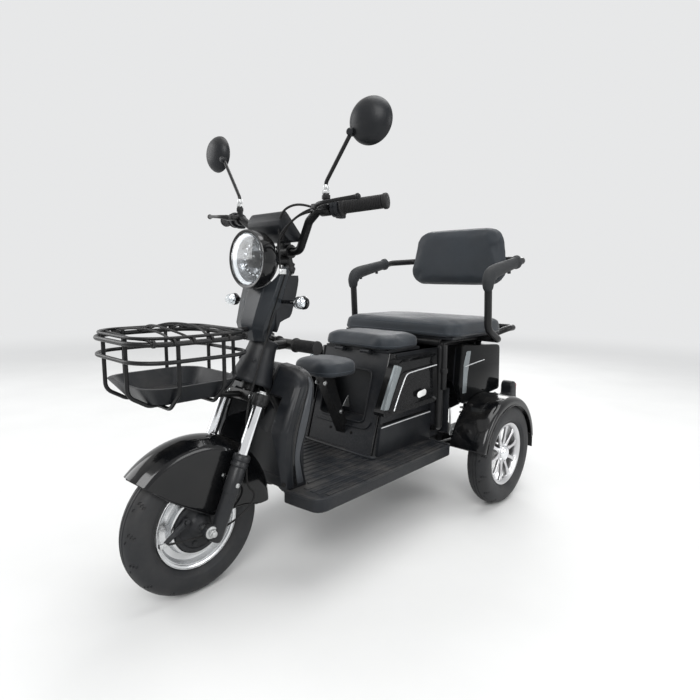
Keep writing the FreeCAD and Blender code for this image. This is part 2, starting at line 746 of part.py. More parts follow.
def make_leg_shield():
    """A waisted shell with a wheel recess in front, a spine up to the neck and room for the fork to swing."""
    half = size("shield_half_width")
    top = size("shield_top_z")
    floor = size("floor_top_z")
    front = fore("shield_front_y")
    rings = []
    for rise, width, ahead, behind in SHIELD_SECTIONS:
        x = half * width
        side = [(x - 12, front + ahead), (x, front + ahead + 10), (x, front + behind)]
        z = floor + rise * (top - floor)
        rings.append([at(x_at, y, z) for x_at, y in side] + [at(-x_at, y, z) for x_at, y in reversed(side)])
    wide = size("recess_half_width")
    arch_top = size("recess_top_z")
    deep = fore("recess_back_y")
    wall = block(at(-wide - 4, deep - 8, floor), at(wide + 4, deep + 16, arch_top + 20))
    tunnel = size("tunnel_half_width")
    back = fore("tunnel_back_y")
    spine = side_prism([(front + 30, floor), (back, floor), (back + 20, top - 40), (back - 30, top - 20),
                        (front + 100, top - 20)], -tunnel, tunnel)
    arch = [(-wide, floor - 10), (-wide, arch_top - 110), (-wide + 34, arch_top - 26), (-wide + 84, arch_top),
            (wide - 84, arch_top), (wide - 34, arch_top - 26), (wide, arch_top - 110), (wide, floor - 10)]
    recess = prism([at(x, front - 60, z) for x, z in arch], Vector(0, deep - front + 60, 0))
    neck = bar(steer(0, 0, 300), steer(0, 0, 700), 61)
    swing = bar(steer(0, 0, 240), steer(0, 0, size("lower_crown_at") + size("crown_thick") + 8),
                size("leg_half_spacing") + size("stanchion_radius") + 15)
    feature("leg_shield", fuse([stack(rings), wall, spine]).cut(recess).cut(neck).cut(swing), ("head_frame",))


def make_floorboard():
    half = size("floor_half_width")
    top = size("floor_top_z")
    low = top - size("floor_depth")
    front = fore("floor_front_y")
    back = size("floor_back_y")
    notch = size("recess_half_width")
    deep = fore("recess_back_y")
    outline = [(-half, front + 44), (-half + 22, front + 12), (-notch - 3, front), (-notch, deep), (notch, deep),
               (notch + 3, front), (half - 22, front + 12), (half, front + 44), (half, back - 20),
               (half - 20, back), (-half + 20, back), (-half, back - 20)]
    deck = prism([at(x, y, low) for x, y in outline], Vector(0, 0, top - low))
    hollow = block(at(-half + 14, front + 74, low - 1), at(half - 14, back - 14, top - 10))
    feature("floorboard", deck.cut(hollow), ("head_frame",))


def box_front(z):
    """How far back the seat box's leaning front face is at a height."""
    low = size("floor_top_z")
    rise = (z - low) / (size("rider_low_z") - size("pan_thick") - 2 * size("seat_gap") - low)
    return size("box_front_low_y") + rise * (size("box_front_top_y") - size("box_front_low_y"))


def hinge_line(x):
    """A point on the line that the rider seat turns about."""
    return at(x, size("rider_front_y") + 4, size("rider_low_z") - size("hinge_drop"))


def hinge_lugs():
    """The fixed half of the rider seat's hinge: two ears and a pin on each side."""
    radius = size("hinge_radius")
    shapes = []
    for side in (-1, 1):
        for x in (40, 72):
            spot = hinge_line(side * x)
            ear = bar(spot - Vector(2.5, 0, 0), spot + Vector(2.5, 0, 0), radius)
            arm = block(spot + Vector(-2.5, 0, -radius), spot + Vector(2.5, 26, -radius + 4))
            shapes.append(ear.fuse(arm))
        shapes.append(bar(hinge_line(side * 40), hinge_line(side * 72), size("hinge_pin_radius")))
    return fuse(shapes)


def hinge_barrels():
    """The half of the hinge that lifts with the rider seat."""
    radius = size("hinge_radius")
    bore = size("hinge_pin_radius") + size("running_gap")
    shapes = []
    for side in (-1, 1):
        start = hinge_line(side * 43)
        end = hinge_line(side * 69)
        low = min(start.x, end.x)
        leaf = block(Vector(low, start.y, start.z + 1), Vector(low + 26, start.y + 22, start.z + 5))
        shapes.append(bar(start, end, radius - 0.5).fuse(leaf).cut(bar(start, end, bore)))
    return shapes


def make_seat_box():
    half = size("box_half_width")
    floor = size("floor_top_z")
    top = size("rider_low_z") - size("pan_thick") - 2 * size("seat_gap")
    wall = size("panel_wall")
    low_y = size("box_front_low_y")
    top_y = size("box_front_top_y")
    back = size("box_back_y")
    outline = [(low_y, floor), (top_y, top), (back, top), (back, floor)]
    lean = (top_y - low_y) / (top - floor)
    inner = [(low_y + wall + lean * wall, floor + wall), (top_y + wall + lean * 10, top + 10),
             (back - wall, top + 10), (back - wall, floor + wall)]
    box = side_prism(outline, -half, half).cut(side_prism(inner, -half + wall, half - wall))
    right = size("cubby_right")
    left = size("cubby_left")
    low = size("cubby_low_z")
    high = size("cubby_top_z")
    deep = size("cubby_back_y")
    pocket = block(at(right, low_y - 20, low), at(left, deep, high))
    pocket = pocket.makeFillet(22, edges_along(pocket, Vector(0, 1, 0)))
    lining = block(at(right - wall, low_y - 20, low - wall), at(left + wall, deep + wall, high + wall))
    lining = lining.common(side_prism(outline, -half, half))
    box = box.fuse(lining).cut(pocket)
    feature("seat_box", box.fuse(hinge_lugs()), ("floor_frame", "seat_frame"))
    battery = doc.addObject("Part::Box", "battery")
    bind(battery, Length="Sizes.battery_width", Width="Sizes.battery_length", Height="Sizes.battery_height")
    battery.Placement = Placement(at(-size("battery_width") / 2, deep + 2 * wall, floor + wall), Rotation())
    keep(battery, "battery_block")
    panel_x = half + size("side_panel_depth")
    upper = [(-508, 392), (-470, 470), (-432, 545), (-232, 545), (-222, 400), (-240, 384), (-490, 380)]
    lower = [(-498, 252), (-486, 340), (-232, 346), (-222, 252)]
    sides = fuse([side_prism(upper, half + 0.2, panel_x), side_prism(lower, half + 0.2, half + 14)])
    feature("side_panels", both_sides(sides))


def make_tail():
    x = size("tail_x")
    wall = size("panel_wall")
    low = size("tail_low_z")
    top = size("tail_top_z")
    front = size("tail_front_y")
    back = size("tail_back_y")
    side = [(front - 2, top), (back - 12, top - 24), (back, low + 10), (front + 20, low - 8),
            (front - 14, low + 60)]
    feature("tail_panels", both_sides(side_prism(side, x - 22, x)))
    rear = block(at(-x + 22, back - wall - 4, low), at(x - 22, back - 4, top - 26))
    rail = size("bench_low_z") - size("pan_thick") - size("post_radius")
    flange = block(at(-150, back - 18, top - 30), at(150, back - wall - 1, rail))
    feature("tail_cover", rear.fuse(flange), ("seat_frame",))
    out = size("rear_fender_out")
    inside = x
    radius = size("rear_fender_radius")
    track = size("rear_half_track")
    profile = [(out - track, radius - 14), ((inside + out) / 2 - track, radius + 8, "crown"),
               (inside - track, radius + 4)]
    under = [(across, height - wall, *crown) for across, height, *crown in reversed(profile)]
    arch = turned(profile + under, at(track, 0, WHEEL), 152, 18)
    hump = side_prism([(96, 330), (118, 352), (152, 360), (200, 352), (207, 300), (207, 250)], x + 4, x + 50)
    hub = at(0, 0, WHEEL)
    hump = hump.cut(bar(hub, hub + Vector(400, 0, 0), radius + 2))
    feature("rear_fenders", both_sides(arch.fuse(hump)))
    lamp = side_prism([(152, 360), (150, 396), (164, 408), (182, 408), (196, 392), (200, 352)], x + 12, x + 44)
    feature("tail_lamps", both_sides(lamp))


def make_rear_axle():
    track = size("rear_half_track")
    hub = size("hub_half_width")
    reach = track - hub - 4
    housing = bar(at(-reach, 0, WHEEL), at(reach, 0, WHEEL), 22)
    shaft = bar(at(-track - hub, 0, WHEEL), at(track + hub, 0, WHEEL),
                size("rear_shaft_radius") - size("running_gap"))
    case = bar(at(20, 0, WHEEL), at(90, 0, WHEEL), 62)
    motor = bar(at(-110, 0, WHEEL), at(20, 0, WHEEL), 72)
    drums = [bar(at(s * (reach - 22), 0, WHEEL), at(s * reach, 0, WHEEL), 62) for s in (-1, 1)]
    rail_z = size("floor_top_z") - size("floor_depth") - size("frame_tube") - 2
    arms = [bar(at(s * 128, 0, WHEEL), at(s * 128, size("floor_back_y") + 6, rail_z), 13) for s in (-1, 1)]
    feature("rear_axle", fuse([housing, shaft, case, motor] + drums + arms), ("floor_frame",))
    foot = at(165, 4, WHEEL + 20)
    head = at(165, 56, size("bench_low_z") - 40)
    run = head - foot
    spring = bar(foot + run * 0.16, foot + run * 0.66, 23)
    shock = fuse([spring, bar(foot, head, 9)])
    feature("shock_absorbers", both_sides(shock), ("rear_axle", "seat_frame"))


def make_seats():
    gap = size("seat_gap")
    low = size("rider_low_z")
    pan = size("pan_thick")
    half = size("rider_half_width")
    front = size("rider_front_y")
    back = size("rider_back_y")
    feature("rider_seat", cushion(half, front, back, low, size("rider_thick"), 56, 15))
    plate = block(at(-half + 20, front + 20, low - gap - pan), at(half - 20, back - 8, low - gap))
    feature("rider_seat_pan", fuse([plate] + hinge_barrels()))
    low = size("bench_low_z")
    half = size("bench_half_width")
    front = size("bench_front_y")
    back = size("bench_back_y")
    feature("passenger_seat", cushion(half, front, back, low, size("bench_thick"), 60, 20))
    plate = block(at(-half + 24, front + 22, low - pan), at(half - 24, back - 16, low))
    feature("passenger_seat_pan", plate, ("arm_frame",))
    half = size("child_half_width")
    low = size("child_low_z")
    front = size("child_front_y")
    back = size("child_back_y")
    feature("child_seat", cushion(half, front, back, low, size("child_thick"), 56, 14))


def back_outline(inset, depth):
    """The backrest's outline from the front, narrower at the top, drawn in by an inset."""
    low = size("back_low_z") + inset
    high = size("back_low_z") + size("back_height") - inset
    wide = size("back_half_width") - inset
    narrow = size("back_top_half_width") - inset
    return [at(-wide, depth, low), at(wide, depth, low), at(narrow, depth, high), at(-narrow, depth, high)]


def leaned_back(shape):
    """Lean a shape back with the backrest, about the foot of its front face."""
    shape.rotate(at(0, size("back_front_y"), size("back_low_z")), Vector(1, 0, 0), -size("back_rake_deg"))
    return shape


def make_backrest():
    front = size("back_front_y")
    corner = size("back_corner")
    pad = prism(back_outline(0, front), Vector(0, size("back_thick"), 0))
    pad = pad.makeFillet(corner, edges_along(pad, Vector(0, 1, 0)))
    front_edges = [e for e in pad.Edges if abs(e.BoundBox.YMin - (REAR + front)) < 0.01
                   and abs(e.BoundBox.YMax - (REAR + front)) < 0.01]
    feature("backrest_pad", leaned_back(pad.makeFillet(12, front_edges)))
    plate = prism(back_outline(28, front + size("back_thick")), Vector(0, size("back_plate"), 0))
    plate = plate.makeFillet(corner - 20, edges_along(plate, Vector(0, 1, 0)))
    feature("backrest_plate", leaned_back(plate))


def make_arms():
    x = size("arm_x")
    radius = size("arm_tube")
    front = size("arm_front_y")
    z = size("arm_z")
    seat_rail = size("bench_low_z") - size("pan_thick") - size("post_radius")
    lean = math.tan(math.radians(size("back_rake_deg"))) * (z + 62 - size("back_low_z"))
    back_y = size("back_front_y") + size("back_thick") + size("back_plate") + lean
    back_y += radius + 2 * size("seat_gap")
    foot = size("arm_foot_y")
    route = [at(190, foot, seat_rail), at(x - 30, foot, seat_rail), at(x, foot - 50, seat_rail + 6),
             at(x, front + 4, seat_rail + 44), at(x, front - 8, z - 30), at(x, front + 30, z + 6),
             at(x, 140, z + 52), at(x - 60, back_y, z + 60), at(0, back_y, z + 62)]
    half_route = route + [Vector(-p.x, p.y, p.z) for p in reversed(route[:-1])]
    feature("arm_frame", tube(half_route, radius, 36), ("seat_frame",))
    rise = (route[4] - route[3]).normalize()
    run = (route[6] - route[5]).normalize()
    pad = tube([route[4] - rise * 22, route[4], route[5], route[6] - run * 12], size("arm_pad_radius"), 36)
    feature("armrest_pads", both_sides(pad), ("arm_frame",))
    rear = size("grab_y")
    half = size("grab_half_width")
    level = size("grab_z")
    route = [at(190, 128, seat_rail), at(190, 158, seat_rail), at(half, 200, level), at(half, rear, level)]
    route += [Vector(-p.x, p.y, p.z) for p in reversed(route)]
    feature("grab_bar", tube(route, radius - 1, 40), ("seat_frame",))


def make_child_fittings():
    low = size("child_low_z")
    plate = block(at(-40, size("child_front_y") + 40, low - 5), at(40, size("child_back_y") - 30, low))
    foot = [(box_front(z) + 1, z) for z in (329, 292)]
    strut = side_prism([(-590, low - 4), (-545, low - 4)] + foot, -18, 18)
    feature("child_seat_bracket", fuse([plate, strut]), ("seat_box",))
    y = fore("child_bar_y")
    z = size("child_bar_z")
    half = size("child_bar_half")
    cross = bar(at(-half, y, z), at(half, y, z), 15)
    stem = bar(at(0, y, z), steer(0, -20, 486), 13)
    bore = bar(steer(0, 0, 300), steer(0, 0, 700), size("head_tube_radius"))
    feature("child_grab_bar", fuse([cross, stem]).cut(bore), ("neck_cover",))


make_wheels()
make_fork()
make_front_axle()
make_front_fender()
make_mirrors(make_handlebar())
make_headlamp()
make_nose()
make_signals()
make_display()
make_frame()
make_basket()
make_leg_shield()
make_floorboard()
make_seat_box()
make_tail()
make_rear_axle()
make_arms()
make_seats()
make_backrest()
make_child_fittings()

doc.recompute()
for item in doc.Objects:
    if "Invalid" in item.State or "Error" in item.State:
        raise RuntimeError(f"{item.Label} failed: {item.State}")
os.makedirs("parts", exist_ok=True)
for item in nodes:
    shape = item.Shape
    if shape.isNull() or not shape.isValid():
        raise RuntimeError(f"{item.Label} has no valid shape")
    shape.exportStep(os.path.join("parts", item.Label + ".step"))
    box = shape.BoundBox
    print(f"{item.Label:20s} solids {len(shape.Solids)} volume {shape.Volume / 1e3:9.1f} cm3 "
          f"y {box.YMin:8.1f} {box.YMax:8.1f} z {box.ZMin:7.1f} {box.ZMax:7.1f}")
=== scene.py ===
# Three-wheel electric scooter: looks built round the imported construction.
# Metres. +Z is up, -Y is forward, +X is the rider's left, and the ground is z = 0.
import bmesh
import bpy
import json
import math
from mathutils import Matrix, Vector
from mathutils.bvhtree import BVHTree


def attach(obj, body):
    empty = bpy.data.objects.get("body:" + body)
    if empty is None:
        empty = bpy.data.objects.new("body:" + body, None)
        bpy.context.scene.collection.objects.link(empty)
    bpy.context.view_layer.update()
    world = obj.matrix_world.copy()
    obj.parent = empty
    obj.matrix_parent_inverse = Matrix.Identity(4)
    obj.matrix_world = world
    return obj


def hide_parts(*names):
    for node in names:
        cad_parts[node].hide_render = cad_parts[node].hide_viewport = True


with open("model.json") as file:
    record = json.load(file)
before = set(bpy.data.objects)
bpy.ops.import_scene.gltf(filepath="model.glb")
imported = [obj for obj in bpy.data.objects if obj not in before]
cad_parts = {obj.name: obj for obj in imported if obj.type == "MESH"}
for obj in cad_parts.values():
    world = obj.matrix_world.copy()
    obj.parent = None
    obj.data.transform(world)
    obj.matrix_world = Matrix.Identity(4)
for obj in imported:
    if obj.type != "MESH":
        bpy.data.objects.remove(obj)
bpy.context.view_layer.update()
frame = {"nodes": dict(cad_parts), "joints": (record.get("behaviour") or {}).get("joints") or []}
NODES = frame["nodes"]
JOINTS = {joint["name"]: joint for joint in frame["joints"]}
REAR = Vector(JOINTS["rear_left_spin"]["pos_m"])
FRONT = Vector(JOINTS["front_wheel_spin"]["pos_m"])
STEER_FOOT = Vector(JOINTS["steering_turn"]["pos_m"])
STEER_UP = Vector(JOINTS["steering_turn"]["axis"]).normalized()
STEER_AHEAD = Vector((0, -STEER_UP.z, STEER_UP.y))
ACROSS = Vector((1, 0, 0))
UP = Vector((0, 0, 1))


def at(x, back, z):
    """A point in millimetres: aside from the middle, behind the rear axle, and above the ground."""
    return Vector((x / 1000, REAR.y + back / 1000, z / 1000))


def steer(x, ahead, up):
    """A point in millimetres in the steering frame: aside, ahead of the steering line, and up along it."""
    return STEER_FOOT + ACROSS * x / 1000 + STEER_AHEAD * ahead / 1000 + STEER_UP * up / 1000


# Camera
CAMERA_PLACE = at(1102.0, -1642.3, 787.3)
CAMERA_YAW = math.radians(42.7)
CAMERA_PITCH = math.radians(8.0)
CAMERA_ROLL = math.radians(0.5)
CAMERA_FOCAL_PIXELS = 504.8
PHOTO_WIDTH = 700
SENSOR = 36


def make_camera():
    data = bpy.data.cameras.new("camera")
    data.sensor_width = SENSOR
    data.lens = SENSOR * CAMERA_FOCAL_PIXELS / PHOTO_WIDTH
    data.clip_end = 100
    camera = bpy.data.objects.new("camera", data)
    bpy.context.scene.collection.objects.link(camera)
    level = Vector((math.cos(CAMERA_YAW), math.sin(CAMERA_YAW), 0))
    ahead = Vector((-math.sin(CAMERA_YAW) * math.cos(CAMERA_PITCH),
                    math.cos(CAMERA_YAW) * math.cos(CAMERA_PITCH), -math.sin(CAMERA_PITCH)))
    above = level.cross(ahead)
    right = level * math.cos(CAMERA_ROLL) + above * math.sin(CAMERA_ROLL)
    top = above * math.cos(CAMERA_ROLL) - level * math.sin(CAMERA_ROLL)
    turn = Matrix((right, top, -ahead)).transposed()
    camera.matrix_world = Matrix.Translation(CAMERA_PLACE) @ turn.to_4x4()
    bpy.context.scene.camera = camera


# Stage
FLOOR_REACH = 30
FADE_FROM = 2.2
FADE_TO = 7.0
FLOOR_COLOUR = (0.72, 0.72, 0.71, 1)
BACKDROP_COLOUR = (0.80, 0.805, 0.81, 1)
SKY_LIGHT = (0.95, 0.97, 1.0, 1)
SKY_STRENGTH = 0.55


def wire(tree, source, target):
    """Join an output socket to an input socket."""
    tree.links.new(source, target)


def fill(tree, socket, value):
    """Give an input socket a plain value, or join an output socket to it."""
    if isinstance(value, bpy.types.NodeSocket):
        wire(tree, value, socket)
    else:
        socket.default_value = value


def node(tree, kind, **inputs):
    """A shader node with its inputs set by name; underscores stand for spaces."""
    made = tree.nodes.new(kind)
    for name, value in inputs.items():
        fill(tree, made.inputs[name.replace("_", " ")], value)
    return made


def maths(tree, operation, first, second=0.0, third=0.0, clamp=False):
    """A Math node's output for two or three values or sockets."""
    made = tree.nodes.new("ShaderNodeMath")
    made.operation = operation
    made.use_clamp = clamp
    for number, value in enumerate((first, second, third)):
        fill(tree, made.inputs[number], value)
    return made.outputs[0]


def seen_through(tree):
    """One for camera, glossy and transmission rays, nought for light."""
    path = tree.nodes.new("ShaderNodeLightPath")
    either = maths(tree, "MAXIMUM", path.outputs["Is Camera Ray"], path.outputs["Is Glossy Ray"])
    return maths(tree, "MAXIMUM", either, path.outputs["Is Transmission Ray"])


def make_world():
    world = bpy.data.worlds.new("studio")
    world.use_nodes = True
    tree = world.node_tree
    tree.nodes.clear()
    light = node(tree, "ShaderNodeBackground", Color=SKY_LIGHT, Strength=SKY_STRENGTH)
    shown = node(tree, "ShaderNodeBackground", Color=BACKDROP_COLOUR, Strength=1.0)
    blend = tree.nodes.new("ShaderNodeMixShader")
    wire(tree, seen_through(tree), blend.inputs[0])
    wire(tree, light.outputs[0], blend.inputs[1])
    wire(tree, shown.outputs[0], blend.inputs[2])
    out = tree.nodes.new("ShaderNodeOutputWorld")
    wire(tree, blend.outputs[0], out.inputs["Surface"])
    bpy.context.scene.world = world


def make_floor():
    mesh = bpy.data.meshes.new("floor")
    bm = bmesh.new()
    bmesh.ops.create_circle(bm, cap_ends=True, radius=FLOOR_REACH, segments=96)
    bm.to_mesh(mesh)
    bm.free()
    floor = bpy.data.objects.new("floor", mesh)
    bpy.context.scene.collection.objects.link(floor)
    material, tree, surface = start_material("studio_floor", Roughness=0.75, Specular_IOR_Level=0.2)
    place = tree.nodes.new("ShaderNodeTexCoord")
    speckle = node(tree, "ShaderNodeTexNoise", Vector=place.outputs["Object"], Scale=2.5, Detail=8.0)
    tint = spread(tree, speckle.outputs["Fac"], 0.3, 0.7, 0.0, 1.0)
    wire(tree, blend_colour(tree, tint, FLOOR_COLOUR, opaque(FLOOR_COLOUR, 0.95)),
         surface.inputs["Base Color"])
    far = node(tree, "ShaderNodeVectorMath", Vector=place.outputs["Object"])
    far.operation = "LENGTH"
    fade = node(tree, "ShaderNodeMapRange", Value=far.outputs["Value"], From_Min=FADE_FROM, From_Max=FADE_TO,
                To_Min=0.0, To_Max=1.0)
    fade.interpolation_type = "SMOOTHERSTEP"
    glow = node(tree, "ShaderNodeEmission", Color=BACKDROP_COLOUR, Strength=1.0)
    mix = tree.nodes.new("ShaderNodeMixShader")
    wire(tree, maths(tree, "MULTIPLY", fade.outputs[0], seen_through(tree)), mix.inputs[0])
    wire(tree, surface.outputs[0], mix.inputs[1])
    wire(tree, glow.outputs[0], mix.inputs[2])
    wire(tree, mix.outputs[0], tree.nodes["Material Output"].inputs["Surface"])
    mesh.materials.append(material)


LAMPS = (
    # name, place, aim, size across, power
    ("key", (2.6, -3.4, 3.6), (0, 0, 0.5), 2.4, 150),
    ("fill", (-3.6, -2.2, 2.2), (0, 0, 0.5), 2.6, 60),
    ("crown", (0.3, 0.6, 4.2), (0, 0, 0.4), 2.8, 90),
    ("back", (-1.8, 3.6, 2.6), (0, 0, 0.6), 2.0, 60),
    ("side", (4.0, 1.2, 1.6), (0, 0, 0.5), 1.8, 45),
)


def make_lamps():
    for name, place, aim, across, power in LAMPS:
        data = bpy.data.lights.new(name, "AREA")
        data.shape = "SQUARE"
        data.size = across
        data.energy = power
        lamp = bpy.data.objects.new(name, data)
        lamp.location = place
        lamp.rotation_euler = (Vector(aim) - Vector(place)).to_track_quat("-Z", "Y").to_euler()
        bpy.context.scene.collection.objects.link(lamp)


# Shared effects
def new_group(name, inputs, outputs):
    """An empty shader group; inputs and outputs are (name, kind, default) and (name, kind)."""
    group = bpy.data.node_groups.new(name, "ShaderNodeTree")
    for label, kind, default in inputs:
        socket = group.interface.new_socket(name=label, in_out="INPUT", socket_type=kind)
        socket.default_value = default
    for label, kind in outputs:
        group.interface.new_socket(name=label, in_out="OUTPUT", socket_type=kind)
    return group, group.nodes.new("NodeGroupInput"), group.nodes.new("NodeGroupOutput")


def blend_colour(tree, amount, first, second):
    """A colour between two, by a mask."""
    made = tree.nodes.new("ShaderNodeMix")
    made.data_type = "RGBA"
    for label, value in (("Factor", amount), ("A", first), ("B", second)):
        fill(tree, made.inputs[label], value)
    return made.outputs["Result"]


def spread(tree, value, low, high, to_low, to_high):
    """A value mapped from one range to another."""
    made = tree.nodes.new("ShaderNodeMapRange")
    for label, entry in (("Value", value), ("From Min", low), ("From Max", high), ("To Min", to_low),
                         ("To Max", to_high)):
        fill(tree, made.inputs[label], entry)
    return made.outputs[0]


COLOUR = "NodeSocketColor"
NUMBER = "NodeSocketFloat"


def make_edge_wear():
    """Handled look: patchy tone, rubbed edges and uneven gloss."""
    group, given, result = new_group("edge_wear", (("Colour", COLOUR, (0.1, 0.1, 0.1, 1)),
                                                   ("Rubbed", COLOUR, (0.3, 0.3, 0.3, 1)),
                                                   ("Patch size", NUMBER, 9.0), ("Rubbing", NUMBER, 0.3),
                                                   ("Gloss", NUMBER, 0.4), ("Gloss spread", NUMBER, 0.1)),
                                     (("Colour", COLOUR), ("Roughness", NUMBER)))
    place = group.nodes.new("ShaderNodeTexCoord").outputs["Object"]
    patches = node(group, "ShaderNodeTexNoise", Vector=place, Scale=given.outputs["Patch size"], Detail=6.0)
    fine = node(group, "ShaderNodeTexNoise", Vector=place, Scale=220.0, Detail=3.0)
    shape = group.nodes.new("ShaderNodeNewGeometry").outputs["Pointiness"]
    edge = spread(group, shape, 0.53, 0.62, 0.0, 1.0)
    broken = spread(group, fine.outputs["Fac"], 0.42, 0.62, 0.0, 1.0)
    rub = maths(group, "MULTIPLY", edge, broken)
    rub = maths(group, "MULTIPLY", rub, given.outputs["Rubbing"], clamp=True)
    tone = spread(group, patches.outputs["Fac"], 0.3, 0.7, 0.82, 1.15)
    toned = node(group, "ShaderNodeVectorMath", Vector=given.outputs["Colour"])
    toned.operation = "SCALE"
    wire(group, tone, toned.inputs["Scale"])
    wire(group, blend_colour(group, rub, toned.outputs[0], given.outputs["Rubbed"]), result.inputs["Colour"])
    swing = maths(group, "SUBTRACT", patches.outputs["Fac"], 0.5)
    swing = maths(group, "MULTIPLY", swing, given.outputs["Gloss spread"])
    swing = maths(group, "MULTIPLY", swing, 4.0)
    wire(group, maths(group, "ADD", given.outputs["Gloss"], swing, clamp=True), result.inputs["Roughness"])
    return group


def make_fine_grain():
    """Moulded stipple or leather grain, as a height."""
    group, given, result = new_group(
        "fine_grain",
        (("Cell size", NUMBER, 400.0), ("Softness", NUMBER, 0.3)),
        (("Height", NUMBER), ("Mask", NUMBER)))
    place = group.nodes.new("ShaderNodeTexCoord").outputs["Object"]
    cells = node(group, "ShaderNodeTexVoronoi", Vector=place, Scale=given.outputs["Cell size"])
    cells.feature = "SMOOTH_F1"
    wire(group, given.outputs["Softness"], cells.inputs["Smoothness"])
    small = node(group, "ShaderNodeTexNoise", Vector=place, Scale=given.outputs["Cell size"], Detail=2.0)
    height = maths(group, "MULTIPLY_ADD", small.outputs["Fac"], 0.5, cells.outputs["Distance"])
    wire(group, height, result.inputs["Height"])
    wire(group, spread(group, cells.outputs["Distance"], 0.1, 0.7, 0.0, 1.0), result.inputs["Mask"])
    return group


def make_settled_dust():
    """Fine dust that settles in patches on what faces up."""
    group, given, result = new_group("settled_dust", (("Colour", COLOUR, (0.1, 0.1, 0.1, 1)),
                                                      ("Dust", COLOUR, (0.36, 0.33, 0.29, 1)),
                                                      ("Amount", NUMBER, 0.2)), (("Colour", COLOUR),
                                                                                 ("Mask", NUMBER)))
    place = group.nodes.new("ShaderNodeTexCoord").outputs["Object"]
    facing = group.nodes.new("ShaderNodeSeparateXYZ")
    wire(group, group.nodes.new("ShaderNodeNewGeometry").outputs["Normal"], facing.inputs[0])
    above = spread(group, facing.outputs["Z"], 0.2, 1.0, 0.25, 1.0)
    cloud = node(group, "ShaderNodeTexNoise", Vector=place, Scale=14.0, Detail=8.0, Roughness=0.65)
    patch = spread(group, cloud.outputs["Fac"], 0.42, 0.72, 0.0, 1.0)
    mask = maths(group, "MULTIPLY", above, patch)
    mask = maths(group, "MULTIPLY", mask, given.outputs["Amount"], clamp=True)
    wire(group, blend_colour(group, mask, given.outputs["Colour"], given.outputs["Dust"]),
         result.inputs["Colour"])
    wire(group, mask, result.inputs["Mask"])
    return group


def make_drawn_lines():
    """Streaks left by drawing, turning or brushing metal."""
    group, given, result = new_group(
        "drawn_lines",
        (("Along X", NUMBER, 8.0), ("Along Y", NUMBER, 300.0), ("Along Z", NUMBER, 300.0)),
        (("Height", NUMBER), ("Streak", NUMBER)))
    place = group.nodes.new("ShaderNodeTexCoord").outputs["Object"]
    scale = group.nodes.new("ShaderNodeCombineXYZ")
    for label in ("X", "Y", "Z"):
        wire(group, given.outputs[f"Along {label}"], scale.inputs[label])
    stretched = node(group, "ShaderNodeVectorMath", Vector=place)
    stretched.operation = "MULTIPLY"
    wire(group, scale.outputs[0], stretched.inputs[1])
    streak = node(group, "ShaderNodeTexNoise", Vector=stretched.outputs[0], Scale=1.0, Detail=4.0)
    wire(group, streak.outputs["Fac"], result.inputs["Height"])
    wire(group, spread(group, streak.outputs["Fac"], 0.35, 0.65, 0.0, 1.0), result.inputs["Streak"])
    return group


EDGE_WEAR = make_edge_wear()
FINE_GRAIN = make_fine_grain()
SETTLED_DUST = make_settled_dust()
DRAWN_LINES = make_drawn_lines()


def use(tree, group, **inputs):
    """A group placed in a material, with its inputs set."""
    made = tree.nodes.new("ShaderNodeGroup")
    made.node_tree = group
    for name, value in inputs.items():
        fill(tree, made.inputs[name.replace("_", " ")], value)
    return made


def opaque(colour, share=1):
    """The first three parts of a colour, dimmed to a share, with full alpha."""
    return tuple(share * part for part in colour[:3]) + (1,)


def start_material(name, **fixed):
    """A material, its tree and its surface shader with plain values set."""
    material = bpy.data.materials.new(name)
    material.use_nodes = True
    surface = material.node_tree.nodes["Principled BSDF"]
    for label, value in fixed.items():
        surface.inputs[label.replace("_", " ")].default_value = value
    return material, material.node_tree, surface


def bump(tree, surface, height, strength, depth):
    made = tree.nodes.new("ShaderNodeBump")
    made.inputs["Strength"].default_value = strength
    made.inputs["Distance"].default_value = depth
    wire(tree, height, made.inputs["Height"])
    wire(tree, made.outputs[0], surface.inputs["Normal"])


def finish_surface(tree, surface, colour, rubbed, gloss, dust, rubbing=0.3):
    """Worn colour, uneven gloss and dust on one surface shader."""
    wear = use(tree, EDGE_WEAR, Colour=opaque(colour), Rubbed=opaque(rubbed), Patch_size=9.0, Rubbing=rubbing,
               Gloss=gloss, Gloss_spread=0.08)
    dusty = use(tree, SETTLED_DUST, Colour=wear.outputs["Colour"], Amount=dust)
    wire(tree, dusty.outputs["Colour"], surface.inputs["Base Color"])
    rough = maths(tree, "ADD", wear.outputs["Roughness"], maths(tree, "MULTIPLY", dusty.outputs["Mask"], 0.5),
                  clamp=True)
    wire(tree, rough, surface.inputs["Roughness"])


def grained(name, colour, rubbed, gloss, cell, depth, dust, softness=0.3, **fixed):
    """A coated or moulded finish with a fine grain."""
    material, tree, surface = start_material(name, **{"Specular_IOR_Level": 0.22, **fixed})
    finish_surface(tree, surface, colour, rubbed, gloss, dust)
    grain = use(tree, FINE_GRAIN, Cell_size=cell, Softness=softness)
    bump(tree, surface, grain.outputs["Height"], 0.6, depth)
    return material


def drawn(name, colour, rubbed, gloss, along, depth):
    """Bare or plated metal with streaks along one way."""
    material, tree, surface = start_material(name, Metallic=1.0)
    finish_surface(tree, surface, colour, rubbed, gloss, dust=0.06)
    lines = use(tree, DRAWN_LINES, Along_X=along[0], Along_Y=along[1], Along_Z=along[2])
    bump(tree, surface, lines.outputs["Height"], 0.4, depth)
    return material


def make_tyre_rubber():
    material, tree, surface = start_material("tyre_rubber", Specular_IOR_Level=0.35)
    finish_surface(tree, surface, (0.013, 0.0138, 0.0155), (0.05, 0.05, 0.05), 0.55, dust=0.12, rubbing=0.4)
    grain = use(tree, FINE_GRAIN, Cell_size=900.0, Softness=0.5)
    bump(tree, surface, grain.outputs["Height"], 0.4, 0.0002)
    return material


